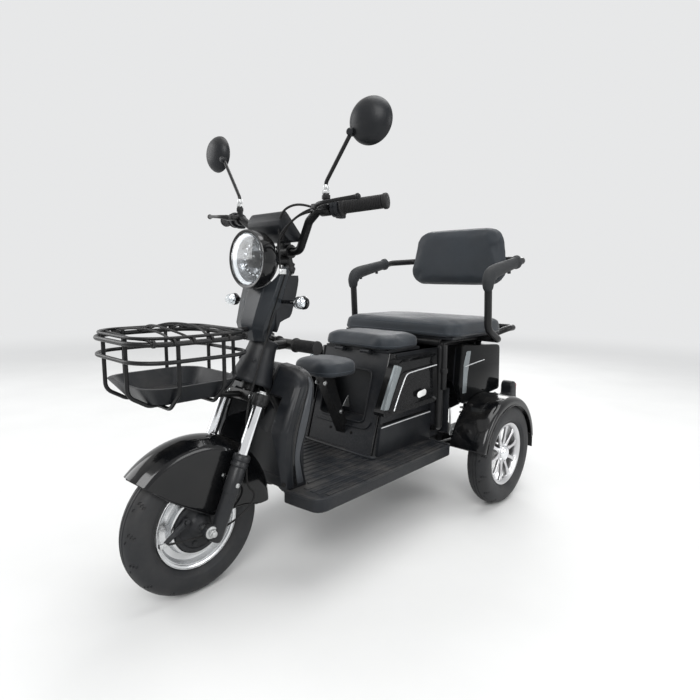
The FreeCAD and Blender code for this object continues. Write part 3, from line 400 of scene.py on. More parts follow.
def make_glass(name, colour, gloss, see=1.0):
    material, tree, surface = start_material(name, Metallic=0.0, IOR=1.46)
    surface.inputs["Transmission Weight"].default_value = see
    grain = use(tree, FINE_GRAIN, Cell_size=60.0, Softness=0.8)
    faint = maths(tree, "MULTIPLY", grain.outputs["Mask"], 0.12)
    tint = blend_colour(tree, faint, opaque(colour), opaque(colour, 0.8))
    wire(tree, tint, surface.inputs["Base Color"])
    rough = spread(tree, grain.outputs["Mask"], 0.0, 1.0, gloss, gloss + 0.04)
    wire(tree, rough, surface.inputs["Roughness"])
    return material


def make_glow(name, colour, glow, strength):
    """A moulded light guide: pale plastic with a faint light of its own."""
    material, tree, surface = start_material(name)
    finish_surface(tree, surface, colour, colour, 0.25, dust=0.0, rubbing=0.0)
    cells = use(tree, FINE_GRAIN, Cell_size=260.0, Softness=0.2)
    shine = blend_colour(tree, cells.outputs["Mask"], opaque(glow), opaque(glow, 0.75))
    wire(tree, shine, surface.inputs["Emission Color"])
    surface.inputs["Emission Strength"].default_value = strength
    return material


# Finishes with a grain: colour, rubbed colour, roughness, cells a metre, depth of grain, dust, and the rest
GRAINED = {
    "powder_coat": ((0.007, 0.0073, 0.008), (0.05, 0.05, 0.05), 0.32, 1200, 0.00012, 0.06, {}),
    "gloss_panel": ((0.0035, 0.0038, 0.0045), (0.03, 0.03, 0.033), 0.14, 700, 0.00002, 0.05,
                    {"Coat_Weight": 0.3, "Coat_Roughness": 0.05}),
    # The next row is a darker, less reflective copy of gloss_panel for the side and tail panels: painted
    # shade for the dark surroundings that they reflect.
    "gloss_panel_shaded": ((0.003, 0.0034, 0.0038), (0.03, 0.03, 0.033), 0.12, 700, 0.00002, 0.04,
                   {"Specular_IOR_Level": 0.09, "Coat_Weight": 0.05, "Coat_Roughness": 0.04}),
    "moulded": ((0.009, 0.0103, 0.0125), (0.045, 0.045, 0.05), 0.38, 1500, 0.00012, 0.08, {}),
    "deck": ((0.012, 0.0135, 0.016), (0.06, 0.06, 0.065), 0.44, 1100, 0.0002, 0.12, {}),
    "seat_cover": ((0.019, 0.0235, 0.029), (0.04, 0.045, 0.05), 0.52, 560, 0.0003, 0.04,
                   {"softness": 0.15, "Sheen_Weight": 0.10}),
    "seam": ((0.042, 0.050, 0.060), (0.08, 0.085, 0.09), 0.5, 900, 0.0002, 0.04, {}),
    "nose_grey": ((0.020, 0.023, 0.027), (0.08, 0.08, 0.085), 0.24, 1100, 0.0001, 0.04, {}),
    "band_grey": ((0.052, 0.056, 0.062), (0.10, 0.10, 0.105), 0.34, 900, 0.0001, 0.05, {}),
    "soft_rubber": ((0.009, 0.009, 0.0095), (0.045, 0.045, 0.045), 0.55, 1600, 0.0002, 0.06, {}),
    "pad_foam": ((0.022, 0.024, 0.026), (0.05, 0.05, 0.05), 0.62, 800, 0.0004, 0.05, {}),
    "leg_black": ((0.018, 0.019, 0.021), (0.12, 0.12, 0.12), 0.30, 900, 0.0001, 0.06, {}),
    "drum_black": ((0.016, 0.017, 0.019), (0.14, 0.14, 0.14), 0.42, 500, 0.0003, 0.1, {}),
    "shadow_gap": ((0.004, 0.004, 0.004), (0.01, 0.01, 0.01), 0.8, 700, 0.00005, 0.15, {}),
    "screen": ((0.006, 0.006, 0.009), (0.03, 0.03, 0.03), 0.08, 90, 0.00001, 0.08, {"Coat_Weight": 1.0}),
    "badge_white": ((0.80, 0.80, 0.79), (0.6, 0.6, 0.6), 0.30, 500, 0.00004, 0.05, {}),
    "stripe_silver": ((0.72, 0.73, 0.74), (0.8, 0.8, 0.8), 0.28, 300, 0.00003, 0.05, {"Metallic": 0.35}),
    # The next row is a light grey for strips along the front edges of the gloss side and tail panels: a
    # painted highlight for the reflection on their bevelled edges.
    "painted_highlight": ((0.22, 0.245, 0.255), (0.5, 0.5, 0.5), 0.22, 700, 0.0003, 0.05, {"Metallic": 0.4}),
}

# Bare and plated metals: colour, rubbed colour, roughness, streaks a metre along X, Y and Z, and their depth
DRAWN = {
    "rim_silver": ((0.70, 0.71, 0.72), (0.9, 0.9, 0.9), 0.24, (240, 20, 20), 0.0001),
    "cast_silver": ((0.62, 0.62, 0.63), (0.85, 0.85, 0.85), 0.32, (120, 120, 120), 0.0002),
    "bright_plate": ((0.78, 0.79, 0.81), (0.9, 0.9, 0.9), 0.10, (260, 60, 20), 0.00004),
    "zinc": ((0.52, 0.53, 0.53), (0.7, 0.7, 0.7), 0.38, (90, 60, 90), 0.0002),
    "mirror_silver": ((0.88, 0.89, 0.90), (0.9, 0.9, 0.9), 0.02, (3, 3, 3), 0.00001),
    "lamp_chrome": ((0.22, 0.225, 0.235), (0.6, 0.6, 0.6), 0.2, (5, 5, 5), 0.00001),
}

MATERIALS = {name: grained(name, *row[:-1], **row[-1]) for name, row in GRAINED.items()}
MATERIALS.update({name: drawn(name, *row) for name, row in DRAWN.items()})
MATERIALS["tyre"] = make_tyre_rubber()
MATERIALS["clear"] = make_glass("clear", (0.93, 0.95, 0.96), 0.03)
MATERIALS["red"] = make_glass("red", (0.55, 0.02, 0.015), 0.08, see=0.55)
MATERIALS["glow_white"] = make_glow("glow_white", (0.9, 0.92, 0.94), (0.95, 0.97, 1.0), 0.55)

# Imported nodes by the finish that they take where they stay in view
NODE_FINISH = {
    "tyre": ("front_tyre", "rear_tyre_left", "rear_tyre_right"),
    "rim_silver": ("front_rim",),
    "cast_silver": ("rear_rim_left", "rear_rim_right"),
    "bright_plate": ("fork_stanchions",),
    "zinc": ("front_axle", "shock_absorbers", "battery_block"),
    "powder_coat": ("fork_stem", "fork_lowers", "handlebar", "brake_levers", "mirrors", "basket_frame",
                    "head_frame", "floor_frame", "seat_frame", "rear_axle", "child_seat_bracket", "arm_frame",
                    "grab_bar", "child_grab_bar"),
    "gloss_panel": ("front_fender", "headlamp_housing", "side_panels", "tail_panels", "rear_fenders"),
    "moulded": ("brake_plate", "bar_switches", "nose_fairing", "turn_signals", "basket_tray", "neck_cover",
                "leg_shield", "seat_box", "tail_cover", "rider_seat_pan", "passenger_seat_pan",
                "backrest_plate"),
    "deck": ("floorboard",),
    "seat_cover": ("rider_seat", "passenger_seat", "child_seat", "backrest_pad"),
    "soft_rubber": ("grips",),
    "pad_foam": ("armrest_pads",),
    "mirror_silver": ("mirror_glass",),
    "glow_white": ("headlamp_ring",),
    "clear": ("headlamp_lens", "signal_lenses"),
    "screen": ("display_panel",),
    "red": ("tail_lamps",),
}


def finish_nodes():
    for finish, names in NODE_FINISH.items():
        for name in names:
            mesh = NODES[name].data
            mesh.materials.clear()
            mesh.materials.append(MATERIALS[finish])


# Making pieces
SHARP = math.radians(38)
CORNER_STEPS = 8
SIDES = (("left", 1), ("right", -1))
MM = 0.001
BACK = Vector((0, 1, 0))


def done(name, bm, body, *finishes, replaces=(), slot=None, sharp=SHARP, merge=0.00002, bevel=0, segments=3,
         rounds=0, wall=0, outward=1):
    """Turn a finished bmesh into a piece that rides on a body; bevel and wall are in millimetres."""
    bmesh.ops.remove_doubles(bm, verts=bm.verts, dist=merge)
    bmesh.ops.recalc_face_normals(bm, faces=bm.faces)
    mesh = bpy.data.meshes.new(name)
    bm.to_mesh(mesh)
    bm.free()
    for finish in finishes:
        mesh.materials.append(MATERIALS[finish])
    mesh.shade_smooth()
    if not rounds:
        mesh.set_sharp_from_angle(angle=sharp)
    item = bpy.data.objects.new(name, mesh)
    bpy.context.scene.collection.objects.link(item)
    if wall:
        shell = item.modifiers.new("wall", "SOLIDIFY")
        shell.thickness = wall * MM
        shell.offset = outward
        shell.use_even_offset = True
    if bevel:
        edge = item.modifiers.new("edge", "BEVEL")
        edge.width = bevel * MM
        edge.segments = segments
        edge.limit_method = "ANGLE"
        edge.angle_limit = math.radians(30)
        edge.harden_normals = False
    if rounds:
        smooth = item.modifiers.new("rounds", "SUBSURF")
        smooth.levels = rounds
        smooth.render_levels = rounds
    return ridden(item, body, replaces)


def ridden(item, body, replaces=()):
    """Fix a piece to a body, and hide the nodes that it stands for."""
    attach(item, body)
    if replaces:
        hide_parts(*replaces)
    return item


def joined(bm, points, closed=False):
    """Vertices along points, with edges between them."""
    verts = [bm.verts.new(point) for point in points]
    edges = [bm.edges.new(pair) for pair in zip(verts, verts[1:])]
    if closed:
        edges.append(bm.edges.new((verts[-1], verts[0])))
    return verts + edges


def turn(bm, centre, along, profile, steps=64, closed=False, across=None):
    """Spin an outline of (distance along, radius) in millimetres a full turn about a line."""
    along = along.normalized()
    across = across or along.orthogonal().normalized()
    points = [centre + (along * distance + across * radius) * MM for distance, radius in profile]
    bmesh.ops.spin(bm, geom=joined(bm, points, closed), cent=centre, axis=along, angle=math.tau, steps=steps,
                   use_merge=True)


def push(bm, points, run):
    """Push a flat outline out along a run, in metres, and give its vertices."""
    face = bm.faces.new([bm.verts.new(point) for point in points])
    made = bmesh.ops.extrude_face_region(bm, geom=[face], use_keep_orig=True)
    moved = [part for part in made["geom"] if isinstance(part, bmesh.types.BMVert)]
    bmesh.ops.translate(bm, verts=moved, vec=run)
    return list(face.verts) + moved


def round_off(bm, verts, width, segments=3):
    """Bevel every edge between some vertices by a width in millimetres."""
    chosen = set(verts)
    edges = [edge for edge in bm.edges if edge.verts[0] in chosen and edge.verts[1] in chosen]
    bmesh.ops.bevel(bm, geom=edges, offset=width * MM, offset_type="OFFSET", segments=segments, profile=0.5,
                    affect="EDGES", material=-1, clamp_overlap=True)


def plate(bm, points, run, width, segments=3):
    """A flat outline pushed out along a run, with rounded edges."""
    round_off(bm, push(bm, points, run), width, segments)


def slab(bm, low, high, width=1.5, segments=3):
    """A block between two corners, given by at(), with rounded edges."""
    made = bmesh.ops.create_cube(bm, size=1)["verts"]
    size = high - low
    bmesh.ops.scale(bm, verts=made, vec=[max(abs(part), 0.0004) for part in size])
    bmesh.ops.translate(bm, verts=made, vec=(low + high) / 2)
    round_off(bm, made, width, segments)


def drum(bm, start, end, radius, width=1.0, segments=40):
    """A round or many-sided bar between two points, radius in millimetres, with rounded ends."""
    run = end - start
    made = bmesh.ops.create_cone(bm, cap_ends=True, segments=segments, radius1=radius * MM,
                                 radius2=radius * MM, depth=run.length)["verts"]
    turned = Vector((0, 0, 1)).rotation_difference(run).to_matrix()
    bmesh.ops.rotate(bm, verts=made, cent=(0, 0, 0), matrix=turned)
    bmesh.ops.translate(bm, verts=made, vec=(start + end) / 2)
    if width:
        chosen = set(made)
        rims = [edge for edge in bm.edges if edge.verts[0] in chosen and edge.verts[1] in chosen
                and len(edge.link_faces) == 2 and any(len(face.verts) > 4 for face in edge.link_faces)]
        bmesh.ops.bevel(bm, geom=rims, offset=width * MM, offset_type="OFFSET", segments=2, profile=0.5,
                        affect="EDGES", material=-1, clamp_overlap=True)
    return made


def bolt(bm, spot, out, radius=5, height=4):
    """A hexagon head on a washer, standing out from a face."""
    out = out.normalized()
    drum(bm, spot - out * MM, spot + out * 1.2 * MM, radius * 1.5, 0.3, 24)
    drum(bm, spot + out * 1.0 * MM, spot + out * (1.0 + height) * MM, radius, 0.6, 6)


def arms(count, reach, start=0, axis="X"):
    """Steps out from an axis, in millimetres, evenly round it."""
    first = Vector((0, reach, 0) if axis == "X" else (reach, 0, 0)) * MM
    return [Matrix.Rotation(math.radians(start + 360 * number / count), 3, axis) @ first
            for number in range(count)]


def side_points(x, rows):
    """Points at one distance aside, from rows of (behind the rear axle, height)."""
    return [at(x, y, z) for y, z in rows]


def round_corners(corners, radius, place):
    """Quarter circles about corners, each (first, second, start in degrees), put by place(first, second)."""
    outline = []
    for first, second, start in corners:
        for number in range(CORNER_STEPS + 1):
            angle = math.radians(start + number * 90 / CORNER_STEPS)
            outline.append(place(first + radius * math.cos(angle), second + radius * math.sin(angle)))
    return outline


def shaped(bm, across, along, place):
    """A grid whose points go to place(u, v), with u and v from 0 to 1."""
    for vert in bmesh.ops.create_grid(bm, x_segments=across, y_segments=along, size=0.5)["verts"]:
        vert.co = place(vert.co.x + 0.5, vert.co.y + 0.5)


def eased(table, key):
    """A smooth reading between rows of (key, values...), as a list of values."""
    if key <= table[0][0]:
        return list(table[0][1:])
    for number, (low, high) in enumerate(zip(table, table[1:])):
        if key <= high[0]:
            share = (key - low[0]) / (high[0] - low[0])
            before = table[number - 1] if number else low
            after = table[number + 2] if number + 2 < len(table) else high
            values = []
            for first, second, third, fourth in zip(before[1:], low[1:], high[1:], after[1:]):
                bend = 0.5 * (third - first)
                tail = 0.5 * (fourth - second)
                cube = share ** 3
                square = share ** 2
                values.append((2 * cube - 3 * square + 1) * second + (cube - 2 * square + share) * bend
                              + (3 * square - 2 * cube) * third + (cube - square) * tail)
            return values
    return list(table[-1][1:])


def rods(name, body, finish, runs, radius, smooth=True, taper=None, closed=False, sides=4):
    """Round bars along lists of points, with a spline each; taper scales the radius point by point."""
    curve = bpy.data.curves.new(name, "CURVE")
    curve.dimensions = "3D"
    curve.bevel_depth = radius * MM
    curve.bevel_resolution = sides
    curve.resolution_u = 8
    curve.use_fill_caps = True
    curve.materials.append(MATERIALS[finish])
    for points in runs:
        spline = curve.splines.new("NURBS" if smooth else "POLY")
        spline.points.add(len(points) - 1)
        for number, (spot, point) in enumerate(zip(spline.points, points)):
            spot.co = (*point, 1)
            if taper:
                spot.radius = taper[number]
        if closed:
            spline.use_cyclic_u = True
        if smooth:
            spline.order_u = 3
            spline.use_endpoint_u = not closed
    item = bpy.data.objects.new(name, curve)
    bpy.context.scene.collection.objects.link(item)
    return ridden(item, body)


def flipped(points):
    """Points on the other side of the middle."""
    return [Vector((-point.x, point.y, point.z)) for point in points]


# Wheels
TYRE_OUTLINE = (
    # aside from the middle, radius, degrees that the tread leans ahead
    (22.6, 110.8, 0), (26.5, 112.5, 0), (31.0, 117.5, 0), (34.0, 123.2, 0), (35.3, 124.6, 0),
    (36.0, 129, 0), (37.6, 138, 0), (38.0, 147, 0), (37.2, 155, 0), (35.0, 162, 0.7), (31.2, 168, 1.9),
    (26.0, 172.6, 3.3), (19.5, 176.2, 4.9), (13.5, 178.4, 6.2), (8.0, 179.5, 7.2), (6.4, 177.4, 7.4),
    (4.2, 177.4, 7.8), (2.6, 179.9, 8.1), (0, 180, 8.6))
TREAD_STEPS = 150
GROOVE_EVERY = 10
GROOVE_FROM = 12.5
GROOVE_TO = 35.5
GROOVE_RADIUS = 160


def lean_at(aside):
    """How far the tread leans ahead at a distance from the middle, in degrees."""
    return eased(sorted((abs(x), lean) for x, _, lean in TYRE_OUTLINE), abs(aside))[0]


def make_tyre(node_name, centre, body):
    bm = bmesh.new()
    outline = list(TYRE_OUTLINE) + [(-x, radius, lean) for x, radius, lean in reversed(TYRE_OUTLINE[:-1])]
    points = []
    for x, radius, lean in outline:
        arm = Matrix.Rotation(math.radians(lean), 3, "X") @ Vector((0, radius * MM, 0))
        points.append(centre + ACROSS * x * MM + arm)
    bmesh.ops.spin(bm, geom=joined(bm, points, closed=True), cent=centre, axis=ACROSS, angle=math.tau,
                   steps=TREAD_STEPS, use_merge=True)
    bmesh.ops.remove_doubles(bm, verts=bm.verts, dist=0.00002)
    bmesh.ops.recalc_face_normals(bm, faces=bm.faces)
    step = 360 / TREAD_STEPS
    grooves = []
    for face in bm.faces:
        spot = (face.calc_center_median() - centre) / MM
        aside = abs(spot.x)
        if GROOVE_FROM < aside < GROOVE_TO and math.hypot(spot.y, spot.z) > GROOVE_RADIUS:
            angle = math.degrees(math.atan2(spot.z, spot.y)) - lean_at(aside)
            number = round(angle / step - 0.5)
            if (number + (0 if spot.x > 0 else GROOVE_EVERY // 2)) % GROOVE_EVERY == 0:
                grooves.append(face)
    bmesh.ops.inset_region(bm, faces=grooves, thickness=0.0018, depth=-0.0022, use_even_offset=True,
                           use_boundary=True)
    return done(f"{node_name}_dressed", bm, body, "tyre", replaces=(node_name,), slot="tyre")


FRONT_RIM_OUTLINE = (
    # along the axle to the left, radius
    (11, 66.5), (28.5, 67.4), (30, 68.8), (30, 72.6), (28.8, 74.4), (12, 76), (8, 79), (6.5, 86), (7.5, 93),
    (12, 96.6), (18.5, 98.4), (20.6, 99.8), (20.8, 101.6), (24.4, 102.6), (25.8, 104.6), (26.4, 107.8),
    (27.6, 108.6), (27.6, 110), (26.6, 110.8), (24.9, 110.6), (23.9, 108.6), (23.4, 103), (20, 101.4),
    (-20, 101.4), (-23.4, 103), (-23.9, 108.6), (-24.9, 110.6), (-26.6, 110.8), (-27.6, 110),
    (-27.6, 108.6), (-26.4, 107.8), (-25.8, 104.6), (-24.4, 102.6), (-20.8, 101.6), (-20.6, 99.8),
    (-18.5, 98.4), (-12, 96.6), (-7.5, 93), (-6.5, 86), (-6.5, 44), (-8, 38), (-14, 34), (-26, 31),
    (-29, 29.6), (-30, 27), (-30, 12), (-29, 7.4), (9, 7.4), (10, 12), (10.5, 40))


def make_front_wheel():
    make_tyre("front_tyre", FRONT, "front_wheel")
    bm = bmesh.new()
    turn(bm, FRONT, ACROSS, FRONT_RIM_OUTLINE, 96, closed=True, across=BACK)
    for arm in arms(6, 62):
        drum(bm, FRONT + arm - ACROSS * 9.5 * MM, FRONT + arm - ACROSS * 6 * MM, 13, 1.2, 28)
    done("front_rim_dressed", bm, "front_wheel", "rim_silver", replaces=("front_rim",), slot="alloy")


def make_drum_brake():
    bm = bmesh.new()
    cup = ((12, 8), (12, 64), (16, 66.2), (32, 66.2), (35, 65), (36, 62), (36, 56), (33.5, 54), (33.5, 34),
           (36, 30), (40, 28), (42, 24), (49, 17), (50, 15), (50, 7.3), (12, 7.3))
    turn(bm, FRONT, ACROSS, cup, 72, closed=True, across=BACK)
    for arm in arms(4, 44, 70):
        drum(bm, FRONT + arm + ACROSS * 33 * MM, FRONT + arm + ACROSS * 36.5 * MM, 6, 1, 20)
    cam = FRONT + Vector((0, -0.040, 0.028))
    drum(bm, cam + ACROSS * 30 * MM, cam + ACROSS * 47 * MM, 9, 1)
    drum(bm, cam + ACROSS * 41 * MM, cam + ACROSS * 52 * MM, 6, 1, 6)
    tip = FRONT + Vector((0, -0.100, -0.008))
    way = (tip - cam).normalized()
    beside = way.cross(ACROSS).normalized()
    lever = [cam + beside * 9 * MM, cam - way * 8 * MM, cam - beside * 9 * MM, tip - beside * 5 * MM,
             tip + way * 6 * MM, tip + beside * 5 * MM]
    plate(bm, [point + ACROSS * 42 * MM for point in lever], ACROSS * 5 * MM, 1.2, 2)
    stay = FRONT + Vector((0, 0.062, -0.052))
    plate(bm, [FRONT + Vector((0.033, 0.040, -0.020)), FRONT + Vector((0.033, 0.020, -0.050)),
               stay + ACROSS * 33 * MM, stay + Vector((0.033, 0.006, 0.018))], ACROSS * 8 * MM, 2, 2)
    done("brake_plate_dressed", bm, "steering", "drum_black", replaces=("brake_plate",), slot="satin_black")
    bm = bmesh.new()
    drum(bm, tip + Vector((0.038, 0, 0)), tip + Vector((0.052, 0, 0)), 4.5, 0.8, 24)
    plate(bm, [tip + Vector((0.039, back, rise)) for back, rise in
               ((-0.012, -0.006), (0.002, -0.006), (0.002, 0.006), (-0.012, 0.006))], ACROSS * 11 * MM, 1, 2)
    done("brake_clevis", bm, "steering", "zinc", slot="zinc")


REAR_RIM_OUTLINE = ((27.6, 110), (26.6, 110.8), (24.9, 110.6), (23.9, 108.6), (23.4, 103), (20, 101.4),
                    (-20, 101.4), (-23.4, 103), (-23.9, 108.6), (-24.9, 110.6), (-26.6, 110.8),
                    (-27.6, 110), (-26.4, 106), (-22, 99), (-8, 96.2), (8, 95.4), (20, 97), (25, 102),
                    (26.8, 107))


def make_rear_wheel(side, sign):
    centre = Vector((sign * abs(REAR.x), REAR.y, REAR.z))
    out = ACROSS * sign
    body = f"rear_wheel_{side}"
    make_tyre(f"rear_tyre_{side}", centre, body)
    bm = bmesh.new()
    turn(bm, centre, out, REAR_RIM_OUTLINE, 96, closed=True, across=BACK)
    turn(bm, centre, out, ((-30, 11.2), (-30, 29), (-26, 30), (6, 33), (14, 34), (17, 32), (18, 28),
                           (18, 11.2)), 64, closed=True, across=BACK)
    spoke = ((28, -9.5), (28, 9.5), (60, 5.6), (84, 6.4), (98, 12.5), (98, -12.5), (84, -6.4), (60, -5.6))
    for number in range(10):
        turned = Matrix.Rotation(math.radians(36 * number + 9), 3, "X")
        points = [centre + turned @ Vector((0, radius, aside)) * MM + out * (4 + radius * 0.07) * MM
                  for radius, aside in spoke]
        plate(bm, points, out * 9 * MM, 2.2, 3)
    done(f"rear_rim_{side}_dressed", bm, body, "cast_silver", replaces=(f"rear_rim_{side}",), slot="alloy")
    bm = bmesh.new()
    turn(bm, centre, out, ((17, 0), (17, 25), (19, 26.6), (21, 26), (27, 22), (29.5, 16), (30.4, 9),
                           (30.6, 0)), 48, across=BACK)
    for arm in arms(5, 29.5):
        drum(bm, centre + arm + out * 16 * MM, centre + arm + out * 21 * MM, 3.4, 0.7, 6)
    done(f"hub_cap_{side}", bm, body, "bright_plate", slot="chrome")


# Fork and front fender
LEG_X = 77
LEG_AHEAD = 11.5


def make_fork_legs():
    for side, sign in SIDES:
        foot = steer(sign * LEG_X, LEG_AHEAD, 0)
        bm = bmesh.new()
        leg = ((-23, 0), (-23, 12), (-21, 15), (-14, 17), (30, 18.2), (96, 18.8), (98, 20.4), (104, 20.6),
               (158, 20.6), (160, 19.6), (163, 19.6), (165, 22), (172, 22.2), (174, 20.8), (178, 20.8),
               (180, 22.4), (190, 22.4), (193, 21), (195, 18), (195, 15.2), (150, 15.2))
        turn(bm, foot, STEER_UP, leg, 56)
        lug = steer(sign * LEG_X, 35, 0)
        drum(bm, lug - ACROSS * 8 * MM, lug + ACROSS * 8 * MM, 16.5, 2)
        web = [steer(sign * LEG_X - 6, 8, -17), steer(sign * LEG_X - 6, 34, -15),
               steer(sign * LEG_X - 6, 34, 15), steer(sign * LEG_X - 6, 8, 34)]
        plate(bm, web, ACROSS * 12 * MM, 2.5)
        boss = steer(sign * (LEG_X - 14), LEG_AHEAD, 120)
        drum(bm, boss - ACROSS * 10 * MM, boss + ACROSS * 10 * MM, 9, 1)
        done(f"fork_leg_{side}", bm, "steering", "leg_black", replaces=("fork_lowers",), slot="black_frame")
        bm = bmesh.new()
        turn(bm, foot, STEER_UP, ((150, 0), (150, 14.5), (344, 14.5), (346, 12), (346, 0)), 56)
        done(f"fork_tube_{side}", bm, "steering", "bright_plate", replaces=("fork_stanchions",),
             slot="chrome")
        bm = bmesh.new()
        nut = lug + ACROSS * sign * 8 * MM
        drum(bm, nut, nut + ACROSS * sign * 2 * MM, 15, 0.5)
        drum(bm, nut + ACROSS * sign * 2 * MM, nut + ACROSS * sign * 11 * MM, 10.5, 1.2, 6)
        drum(bm, nut + ACROSS * sign * 11 * MM, nut + ACROSS * sign * 17 * MM, 6, 1, 24)
        bolt(bm, steer(sign * (LEG_X + 19.6), LEG_AHEAD, 120), ACROSS * sign, 4, 1.4)
        cap = steer(sign * LEG_X, LEG_AHEAD, 351)
        drum(bm, cap, cap + STEER_UP * 3 * MM, 15, 1)
        drum(bm, cap + STEER_UP * 3 * MM, cap + STEER_UP * 8 * MM, 9, 1, 6)
        bolt(bm, steer(sign * 50, LEG_AHEAD / 2 + 17.5, 338), STEER_AHEAD, 5, 4)
        done(f"fork_bolts_{side}", bm, "steering", "zinc", slot="zinc")
    bm = bmesh.new()
    for sign in (1, -1):
        low = steer(sign * LEG_X, LEG_AHEAD, 319)
        drum(bm, low, steer(sign * LEG_X, LEG_AHEAD, 326), 19, 1.5)
    turn(bm, steer(0, 0, 0), STEER_UP, ((700, 14.2), (700, 18), (703, 19.5), (715, 19.5), (718, 18),
                                        (718, 14.2)), 40, closed=True)
    turn(bm, steer(0, 0, 0), STEER_UP, ((500.5, 14.4), (500.5, 25), (503, 27), (512, 27), (516, 22),
                                        (522, 20), (522, 14.4)), 48, closed=True)
    done("fork_collars", bm, "steering", "powder_coat", slot="black_frame")


# Front fender skirt's edge: degrees back from straight ahead, radius
FENDER_EDGE = ((44.7, 223), (45.6, 197), (48, 133), (54, 92), (60.9, 70), (74, 50), (90, 39.5), (110, 34),
               (132, 34), (150, 47), (160, 64), (165, 85), (169.6, 122), (174.8, 149), (178, 172),
               (178.7, 223))
# Its section: share of its radius, half-width
FENDER_SECTION = ((1.0, 0), (0.9985, 6), (0.994, 13), (0.984, 22), (0.974, 28), (0.968, 30.6), (0.912, 45.6),
                  (0.90, 47.8), (0.88, 49.6), (0.85, 50.7), (0.80, 51), (0, 51))
# Where its skirt starts: how far across the grid, and share of its radius
SKIRT_FROM = 0.74
SKIRT_SHARE = 0.80
# Rows of its grid: how far across, and share of its radius
FENDER_ROWS = ((0, 1.0), (0.30, 0.974), (0.36, 0.966), (0.56, 0.912), (0.66, 0.88),
               (SKIRT_FROM, SKIRT_SHARE), (1.0, 0))
FENDER_RADIUS = 223


def between(table, key):
    """A straight reading between rows of (key, value)."""
    rows = table if table[0][0] < table[-1][0] else tuple(reversed(table))
    if key <= rows[0][0]:
        return rows[0][1]
    for low, high in zip(rows, rows[1:]):
        if key <= high[0]:
            return low[1] + (high[1] - low[1]) * (key - low[0]) / (high[0] - low[0])
    return rows[-1][1]


def round_wheel(centre, aside, degrees, radius):
    """A point round a wheel: aside from it, and an angle from straight ahead, up and back."""
    angle = math.radians(degrees)
    return centre + Vector((aside, -radius * math.cos(angle), radius * math.sin(angle))) * MM


def fender_spot(u, v):
    """A point on the front fender: from tip to tip by u, and from its right edge over to its left by v."""
    first = FENDER_EDGE[0][0]
    degrees = first + (FENDER_EDGE[-1][0] - first) * (0.5 - 0.5 * math.cos(math.pi * u))
    edge = between(FENDER_EDGE, degrees)
    side = 2 * v - 1
    share = between(FENDER_ROWS, abs(side))
    last = edge / FENDER_RADIUS
    if abs(side) > SKIRT_FROM:
        share = SKIRT_SHARE + (last - SKIRT_SHARE) * (abs(side) - SKIRT_FROM) / (1 - SKIRT_FROM)
    share = max(share, last)
    aside = math.copysign(between(FENDER_SECTION, share), side)
    return round_wheel(FRONT, aside, degrees, share * FENDER_RADIUS)


def make_front_fender():
    bm = bmesh.new()
    shaped(bm, 110, 76, fender_spot)
    done("front_fender_shell", bm, "steering", "gloss_panel", replaces=("front_fender",), slot="gloss_black",
         wall=2.6, outward=-1, merge=0.0001)
    edge = []
    for degrees, radius in FENDER_EDGE:
        share = radius / FENDER_RADIUS
        edge.append(round_wheel(FRONT, between(FENDER_SECTION, share) + 0.2, degrees, radius - 0.5))
    rods("fender_lips", "steering", "gloss_panel", [edge, flipped(edge)], 1.9)
    bm = bmesh.new()
    for sign in (1, -1):
        for ahead, up in ((LEG_AHEAD, 120), (LEG_AHEAD + 16, 132), (LEG_AHEAD - 16, 108)):
            bolt(bm, steer(sign * 51, ahead, up), ACROSS * sign, 4, 3)
    done("fender_bolts", bm, "steering", "zinc", slot="zinc")


# Bars, grips, levers, switches and mirrors
BAR_LOW = steer(0, 29, 748)
BAR_ROUTE = [BAR_LOW + Vector(place) * MM for place in
             ((60, 0, 0), (122, -22, 72), (160, -26, 96), (219, -8, 100), (335, 34, 110))]
BAR_WAY = (BAR_ROUTE[4] - BAR_ROUTE[3]).normalized()
INNER_WAY = (BAR_ROUTE[3] - BAR_ROUTE[2]).normalized()
PERCH = BAR_ROUTE[2] + (BAR_ROUTE[3] - BAR_ROUTE[2]) * 0.36


def mirrored(bm):
    """A copy of everything in the mesh on the other side of the middle."""
    bmesh.ops.mirror(bm, geom=bm.verts[:] + bm.edges[:] + bm.faces[:], matrix=Matrix(), merge_dist=-1,
                     axis="X")


def make_grips():
    bm = bmesh.new()
    profile = [(4, 11.3), (4, 21.5), (5, 23), (8, 23), (9.5, 21), (11, 17)]
    length = 119
    for number in range(22):
        start = 14 + number * 4.4
        profile += [(start, 15.6), (start + 0.6, 16.6), (start + 2.8, 16.6), (start + 3.4, 15.6)]
    profile += [(length - 7, 16.6), (length - 5, 18.6), (length + 1, 19), (length + 4, 17.5),
                (length + 5, 13), (length + 5, 0)]
    turn(bm, BAR_ROUTE[3], BAR_WAY, profile, 40)
    mirrored(bm)
    done("grips_dressed", bm, "steering", "soft_rubber", replaces=("grips",), slot="soft_rubber")


